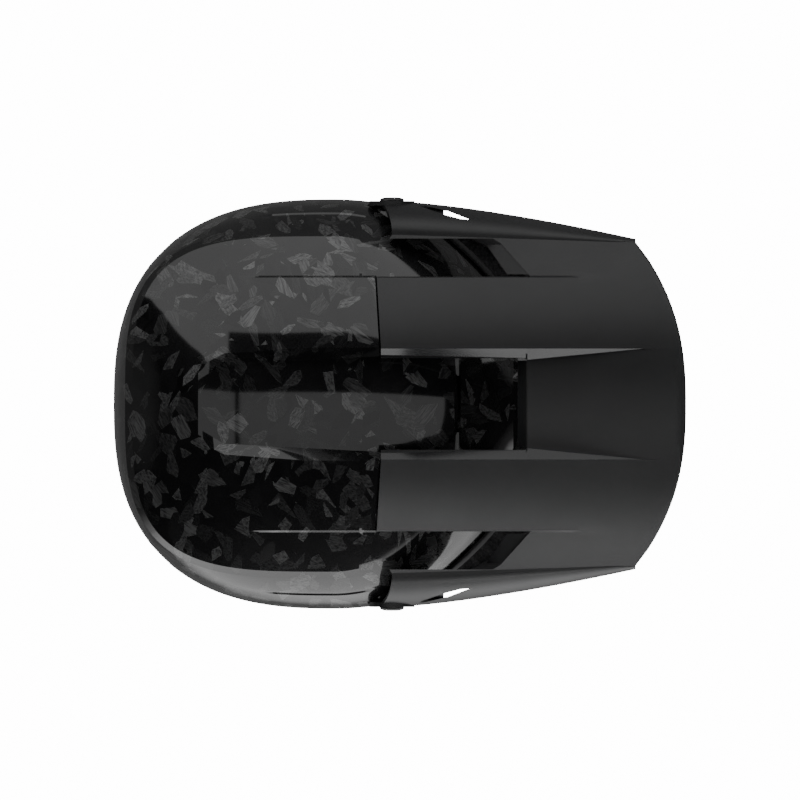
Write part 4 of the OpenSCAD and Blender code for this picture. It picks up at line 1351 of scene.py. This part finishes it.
def thread_on(piece, name, place, lines):
    """Stitches along the sewn lines of a pad, each a short swelling of the thread."""
    made = []
    for line in lines:
        points, normals = [], []
        for a, b in line:
            near = Vector(place(*warped(a, b), 1.0)) * MM
            spot, normal = piece.closest_point_on_mesh(near)[1:3]
            points.append(spot / MM)
            normals.append(normal)
        lengths = [0.0]
        for p, q in zip(points[:-1], points[1:]):
            lengths.append(lengths[-1] + (q - p).length)
        steps = 6 * max(4, round(lengths[-1] / STITCH))
        sections = []
        for n in range(steps + 1):
            at = lengths[-1] * n / steps
            k = max(i for i in range(len(lengths) - 1) if lengths[i] <= at + 0.0001)
            f = (at - lengths[k]) / max(0.001, lengths[k + 1] - lengths[k])
            middle, normal = points[k].lerp(points[k + 1], f), normals[k].lerp(normals[k + 1], f)
            aside = (points[k + 1] - points[k]).normalized().cross(normal).normalized()
            fat = stitch_swell(n)
            middle += normal * (0.3 * fat - 0.25)
            sections.append(circle(middle, aside, normal, 0.1 + 0.36 * fat, 6))
        made.append(ring_of(name, sections, closed=False))
    return softened(joined(*made), 60)


def piping(name, place, r=0.9):
    """The bound seam round a pad's edge."""
    corners = [(0, 0), (1, 0), (1, 1), (0, 1), (0, 0)]
    sides = [(mix(p[0], q[0], n / 30), mix(p[1], q[1], n / 30))
             for p, q in zip(corners[:-1], corners[1:]) for n in range(30)]
    points = [Vector(place(*warped(a, b), 0.05)) for a, b in sides]
    normals = [(Vector(place(*warped(a, b), 1.0)) - p).normalized() for (a, b), p in zip(sides, points)]
    sections = []
    for n, (p, normal) in enumerate(zip(points, normals)):
        ahead = (points[(n + 1) % len(points)] - points[n - 1]).normalized()
        sections.append(circle(p + normal * 0.7, ahead.cross(normal).normalized(), normal, r, 8))
    return softened(ring_of(name, sections), 60)


class HELMET_OT_pads(bpy.types.Operator):
    """Sews the crown, brow, rear, neck and cheek pads, with their seams and stitching"""
    bl_idname = "helmet.pads"
    bl_label = "Comfort Pads"

    def execute(self, context):
        x, half = WIDE_X, SHOULDER_HALF
        cloth, thread, trim = knit(look()), sewing_thread(), knit(look(), "pad trim", 0.6)
        plans = (
            ("crown_pad", dome_place(x - 72, x + 32, 0.54 * half, PAD), 104, 117,
             sewn("b", 0.3, 0.7) + sewn("a", 0.5)),
            ("brow_pad", dome_place(x + 38, x + 60, 0.44 * half, PAD), 22, 95, sewn("b", 0.25, 0.5, 0.75)),
            ("rear_pad", wall_place(140, 220, 92, 140, PAD_D + 1.4, PAD + 2), 128, 48,
             sewn("a", 0.34, 0.66)),
            ("neck_roll", wall_place(116, 244, 5, 44, PAD_D + 1.4, 14), 150, 39,
             sewn("a", 0.2, 0.4, 0.6, 0.8)),
            ("cheek_pad_left", cheek_place, 62, 92, sewn("ring", 11.0)))
        for name, place, wide, high, channels in plans:
            piece = pad(name + "_sewn", place, wide, high, channels)
            seam = piping(name + "_seam", place)
            stitching = thread_on(piece, name + "_stitches", place, channel_lines(channels, wide, high))
            made = {name: (piece, seam, stitching)}
            if name == "cheek_pad_left":
                made["cheek_pad_right"] = [other_side(part, part.name.replace("left", "right"))
                                           for part in made[name]]
            for node, (padded, seam, stitching) in made.items():
                on_body(padded, "helmet", "pad_fabric", cloth, node)
                on_body(seam, "helmet", "pad_fabric", trim)
                on_body(stitching, "helmet", "pad_fabric", thread)
        return {"FINISHED"}


# Chin strap

STRAP_X, STRAP_W, STRAP_THICK = -46.0, 25.0, 1.6
ANCHOR_Z, LEAN = 50.0, math.radians(18)
STRAP_SEAT = 3.8
BAR_Y, BAR_LOW, BAR_HIGH = 33.0, 11.4, 17.0


def on_wall(y, z):
    """A place in the anchor's own frame, which leans with the liner's wall, as (y, z)."""
    anchor = side_pt(STRAP_X, ANCHOR_Z, CAVITY)[1]
    c, s = math.cos(LEAN), math.sin(LEAN)
    return anchor + y * c + z * s, ANCHOR_Z - y * s + z * c


def strap_body(name, path, side):
    """Webbing swept along a path of (y, z) points, with rounded corners in the path."""
    points = [Vector(p) for p in path]
    for _ in range(2):
        rounder = [points[0]]
        for p, q in zip(points[:-1], points[1:]):
            rounder += [p.lerp(q, 0.25), p.lerp(q, 0.75)]
        points = rounder + [points[-1]]
    half, t = STRAP_W / 2, STRAP_THICK / 2
    upper = [(u * half, t * (1 - 0.12 * u ** 2 - 0.35 * u ** 8)) for u in (n / 8 for n in range(-8, 9))]
    ring = upper + [(x, -h) for x, h in reversed(upper)]
    sections = []
    for n, p in enumerate(points):
        ahead = (points[min(n + 1, len(points) - 1)] - points[max(0, n - 1)]).normalized()
        up = Vector((-ahead[1], ahead[0]))
        sections.append([(STRAP_X + x, side * (p[0] + up[0] * h), p[1] + up[1] * h) for x, h in ring])
    return softened(ring_of(name, sections, closed=False), 50)


class HELMET_OT_strap(bpy.types.Operator):
    """Threads the two lengths of webbing and the loop that holds the rings"""
    bl_idname = "helmet.strap"
    bl_label = "Chin Strap"

    def execute(self, context):
        web = webbing(look())
        middle = STRAP_SEAT + STRAP_THICK / 2
        start = [on_wall(-middle, 10), on_wall(-middle, -13), (72, 28)]
        left = start + [(62, 21), (50, 16.4), (BAR_Y + 3.3, 14.2)]
        right = start + [(62, 20), (48, 13), (36, 9), (32, 8.2), (14, 8.2), (6, 7.4), (-10, 6.8), (-20, 7),
                         (-23.6, 8.2), (-25, 10.4), (-24, 12.8), (-21.6, 14.2), (-10, 14.2), (0, 13.6),
                         (8, 12.4), (14, 11.2), (32, 11.2), (38, 12.2)]
        on_body(strap_body("strap_left_web", left, 1), "helmet", "webbing", web, "strap_left")
        on_body(strap_body("strap_right_web", right, -1), "helmet", "webbing", web, "strap_right")
        on_body(self.loop("ring_loop_web"), "helmet", "webbing", web, "ring_loop")
        bars = [self.thread_line("strap_stitches", x) for x in (-9, 9)]
        on_body(joined(*bars), "helmet", "pad_fabric", sewing_thread())
        return {"FINISHED"}

    def loop(self, name):
        """One turn of webbing round the bars of both rings."""
        profile = ((-12.3, 1.75), (-12.3, 2.75), (-12, 3), (12, 3), (12.3, 2.75), (12.3, 1.75))
        sections = []
        for n in range(48):
            turn = 2 * math.pi * n / 48
            z = BAR_HIGH if math.sin(turn) > 0 else BAR_LOW
            sections.append([(STRAP_X + x, BAR_Y + r * math.cos(turn), z + r * math.sin(turn))
                             for x, r in profile])
        return softened(ring_of(name, sections), 50)

    def thread_line(self, name, x):
        """A run of stitches that lies on the webbing."""
        line = [(STRAP_X + x, mix(54, 40, n / 12), mix(19.2, 16.4, n / 12)) for n in range(13)]
        sections = []
        for n in range(len(line) * 6 - 5):
            p = Vector([between([q[k] for q in line], n / 6) for k in range(3)])
            r = 0.1 + 0.35 * stitch_swell(n)
            sections.append(circle(p, Vector((1, 0, 0)), Vector((0, 0, 1)), r, 6))
        return softened(ring_of(name, sections, closed=False), 60)


# Screws, screens, and the materials of the pieces that keep their own shape

SCREW_R, SCREW_LENGTH = 2.5, 13.6


class HELMET_OT_fittings(bpy.types.Operator):
    """Gives the foam, grilles, plates, screws and rings their finishes"""
    bl_idname = "helmet.fittings"
    bl_label = "Fittings"

    def execute(self, context):
        steel = metal("ring steel", (0.55, 0.55, 0.56), 0.24)
        alloy = metal("bush alloy", (0.5, 0.5, 0.52), 0.3)
        black = matte_plastic("black screw", (0.02, 0.02, 0.021), 0.34)
        moulded = matte_plastic("grille plastic", (0.014, 0.014, 0.015), 0.5)
        both = ("_left", "_right")
        given = (
            (foam(look()), ["crown_liner", "side_liner", "chin_liner"]),
            (moulded, ["chin_grille", "chin_filter", "strap_snap"]),
            (moulded, [name + end for name in ("rear_grille", "cheek_plate", "strap_anchor")
                       for end in both]),
            (alloy, [name + end for name in ("visor_bush", "visor_insert") for end in both]),
            (steel, ["strap_rivets", "d_ring_upper", "d_ring_lower"]))
        for material, names in given:
            for name in names:
                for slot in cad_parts[name].material_slots:
                    slot.material = material
        for side, end in zip((1, -1), both):
            screw = self.screw("visor_screw%s_turned" % end, side)
            on_body(screw, "helmet", "screw_black", black, "visor_screw" + end)
            screen = sheet_of("chin_side_filter" + end, lambda i, j: self.filter_pt(i, j, side), 20, 8)
            applied(screen, "SOLIDIFY", thickness=1.0 * MM, offset=0)
            on_body(closed_up(softened(screen)), "helmet", "filter_foam", moulded)
        return {"FINISHED"}

    def screw(self, name, side):
        """A domed screw with a wide coin slot, turned round the visor's axis."""
        face, thread = ear_half(), SCREW_R
        tip = face - SCREW_LENGTH
        profile = [(0.01, tip), (thread, tip), (thread, face + 0.04), (6.3, face + 0.04), (6.4, face - 0.3),
                   (7.4, face - 0.3), (7.5, face - 0.2), (7.5, face + 0.7), (7.1, face + 1.3),
                   (5.6, face + 1.95), (3.4, face + 2.25), (0.01, face + 2.3)]

        def place(i, j):
            r, y = profile[j]
            turn = math.pi * i / 32
            return PIVOT[0] + r * math.cos(turn), side * y, PIVOT[1] + r * math.sin(turn)

        turned = closed_up(sheet_of(name, place, 64, len(profile) - 1), gap=0.03 * MM)
        bar = [(PIVOT[0] + x, side * y, PIVOT[1] + z) for x in (-4.6, 4.6) for z in (-0.8, 0.8)
               for y in (face + 1.1, face + 4)]
        cut(turned, hull_of("coin slot", bar))
        return softened(turned, 35)

    def filter_pt(self, i, j, side):
        """Point of the screen behind the chin bar's side air ways."""
        x, y, z = side_pt(mix(44, 101, i / 20), mix(36, 68, j / 8), SHELL_WALL + 0.9)
        return x, side * y, z


# Stage, in metres

PAPER_WHITE = 15.0
PICTURE_WIDTH = 0.496


class HELMET_OT_stage(bpy.types.Operator):
    """Sets the pale floor, the soft lights and the camera that looks straight down"""
    bl_idname = "helmet.stage"
    bl_label = "Stage"

    def execute(self, context):
        plain()
        bpy.ops.mesh.primitive_plane_add(size=6, location=(0, 0, -0.0005))
        floor = context.object
        floor.name = "floor"
        floor.data.materials.append(self.paper())

        world = context.scene.world or bpy.data.worlds.new("studio")
        context.scene.world = world
        sky = Shader("studio", world)
        seen = sky.node("ShaderNodeLightPath", output="Is Camera Ray")
        strength = sky.range(seen, 0, 1, 0.005, PAPER_WHITE)
        sky.show(sky.node("ShaderNodeBackground", {"Color": (1, 1, 1, 1), "Strength": strength}))

        self.softbox("left wall", (0.5, 1.3, 0.74), (0.5, 0, 0.74), 4, 1.44, 22)
        self.softbox("rear wall", (-1.5, 0.9, 0.74), (0, 0.9, 0.74), 0.8, 1.44, 4.4)
        self.softbox("overhead", (0.5, -0.75, 3.3), (0.5, -0.75, 0), 6.4, 2.3, 35)
        for name, place, watts in (("right fill", (0.1, -1.3, 0.5), 8), ("front fill", (1.5, 0, 0.7), 3)):
            self.softbox(name, place, (0.1, 0, 0.2), 1.4, 0.8, watts).visible_glossy = False
        lit = bpy.data.collections.get(VISOR_LIT) or bpy.data.collections.new(VISOR_LIT)
        lamp = self.softbox("visor light", (0.3, -1.3, 0.62), (0.3, 0, 0.2), 1.8, 0.5, 8)
        lamp.light_linking.receiver_collection = lit

        view = bpy.data.cameras.new("camera")
        view.type = "ORTHO"
        view.ortho_scale = PICTURE_WIDTH
        view.clip_end = 20
        camera = bpy.data.objects.new("camera", view)
        context.collection.objects.link(camera)
        camera.location = (0, 0.00248, 3)
        context.scene.camera = camera
        return {"FINISHED"}

    def paper(self):
        """The pale floor: white in the picture, with soft bright patches that the helmet mirrors."""
        s = Shader("studio floor")
        along, side = s.axis(s.place(), 0), s.axis(s.place(), 1)
        patch = s.range(side, -2.4, -2.0, 0, 1) * s.range(side, -0.3, -0.2, 1, 0)
        patch = patch * s.range(along, -0.7, -0.4, 0, 1) * s.range(along, 0.5, 0.9, 1, 0)
        under = s.range(side.size(), 0.07, 0.08, 0.6, 0) * s.range((along + 0.01).size(), 0.1, 0.11, 1, 0)
        grey = s.node("ShaderNodeBsdfDiffuse", {"Color": (0.25, 0.25, 0.25, 1)})
        glow = s.node("ShaderNodeEmission", {"Strength": patch * 1.7 + under})
        white = s.node("ShaderNodeEmission", {"Strength": PAPER_WHITE})
        seen = s.node("ShaderNodeLightPath", output="Is Camera Ray")
        lit = s.node("ShaderNodeAddShader", {0: grey, 1: glow})
        above = s.node("ShaderNodeMixShader", {0: seen, 1: lit, 2: white})
        below = s.node("ShaderNodeNewGeometry", output="Backfacing")
        clear = s.node("ShaderNodeBsdfTransparent")
        return s.show(s.node("ShaderNodeMixShader", {0: below, 1: above, 2: clear}))

    def softbox(self, name, place, target, width, height, watts):
        """An area light, sizes in metres, that faces its target."""
        light = bpy.data.lights.new(name, "AREA")
        light.shape = "RECTANGLE"
        light.size = width
        light.size_y = height
        light.energy = watts
        lamp = bpy.data.objects.new(name, light)
        bpy.context.collection.objects.link(lamp)
        lamp.location = place
        aim = Vector(place) - Vector(target)
        lamp.rotation_euler = aim.to_track_quat("Z", "Y").to_euler()
        return lamp


class HELMET_PT_panel(bpy.types.Panel):
    """Lists the helmet's pieces and values"""
    bl_label = "Helmet"
    bl_idname = "HELMET_PT_panel"
    bl_space_type = "VIEW_3D"
    bl_region_type = "UI"
    bl_category = "Helmet"

    def draw(self, context):
        layout = self.layout
        for group in (context.scene.helmet_look, context.scene.helmet_sizes):
            box = layout.box()
            for name in group.__annotations__:
                box.prop(group, name)
        for step in STEPS:
            layout.operator(step.bl_idname)


STEPS = (HELMET_OT_stage, HELMET_OT_shell, HELMET_OT_visor, HELMET_OT_edgings, HELMET_OT_pads,
         HELMET_OT_strap, HELMET_OT_fittings)
CLASSES = (HelmetLook, HelmetSizes) + STEPS + (HELMET_PT_panel,)


def register():
    for cls in CLASSES:
        bpy.utils.register_class(cls)
    bpy.types.Scene.helmet_look = bpy.props.PointerProperty(type=HelmetLook)
    bpy.types.Scene.helmet_sizes = bpy.props.PointerProperty(type=HelmetSizes)


def unregister():
    del bpy.types.Scene.helmet_sizes
    del bpy.types.Scene.helmet_look
    for cls in reversed(CLASSES):
        bpy.utils.unregister_class(cls)


def main():
    register()
    bpy.ops.helmet.stage()
    bpy.ops.helmet.shell()
    bpy.ops.helmet.visor()
    bpy.ops.helmet.edgings()
    bpy.ops.helmet.pads()
    bpy.ops.helmet.strap()
    bpy.ops.helmet.fittings()


if __name__ == "__main__":
    main()
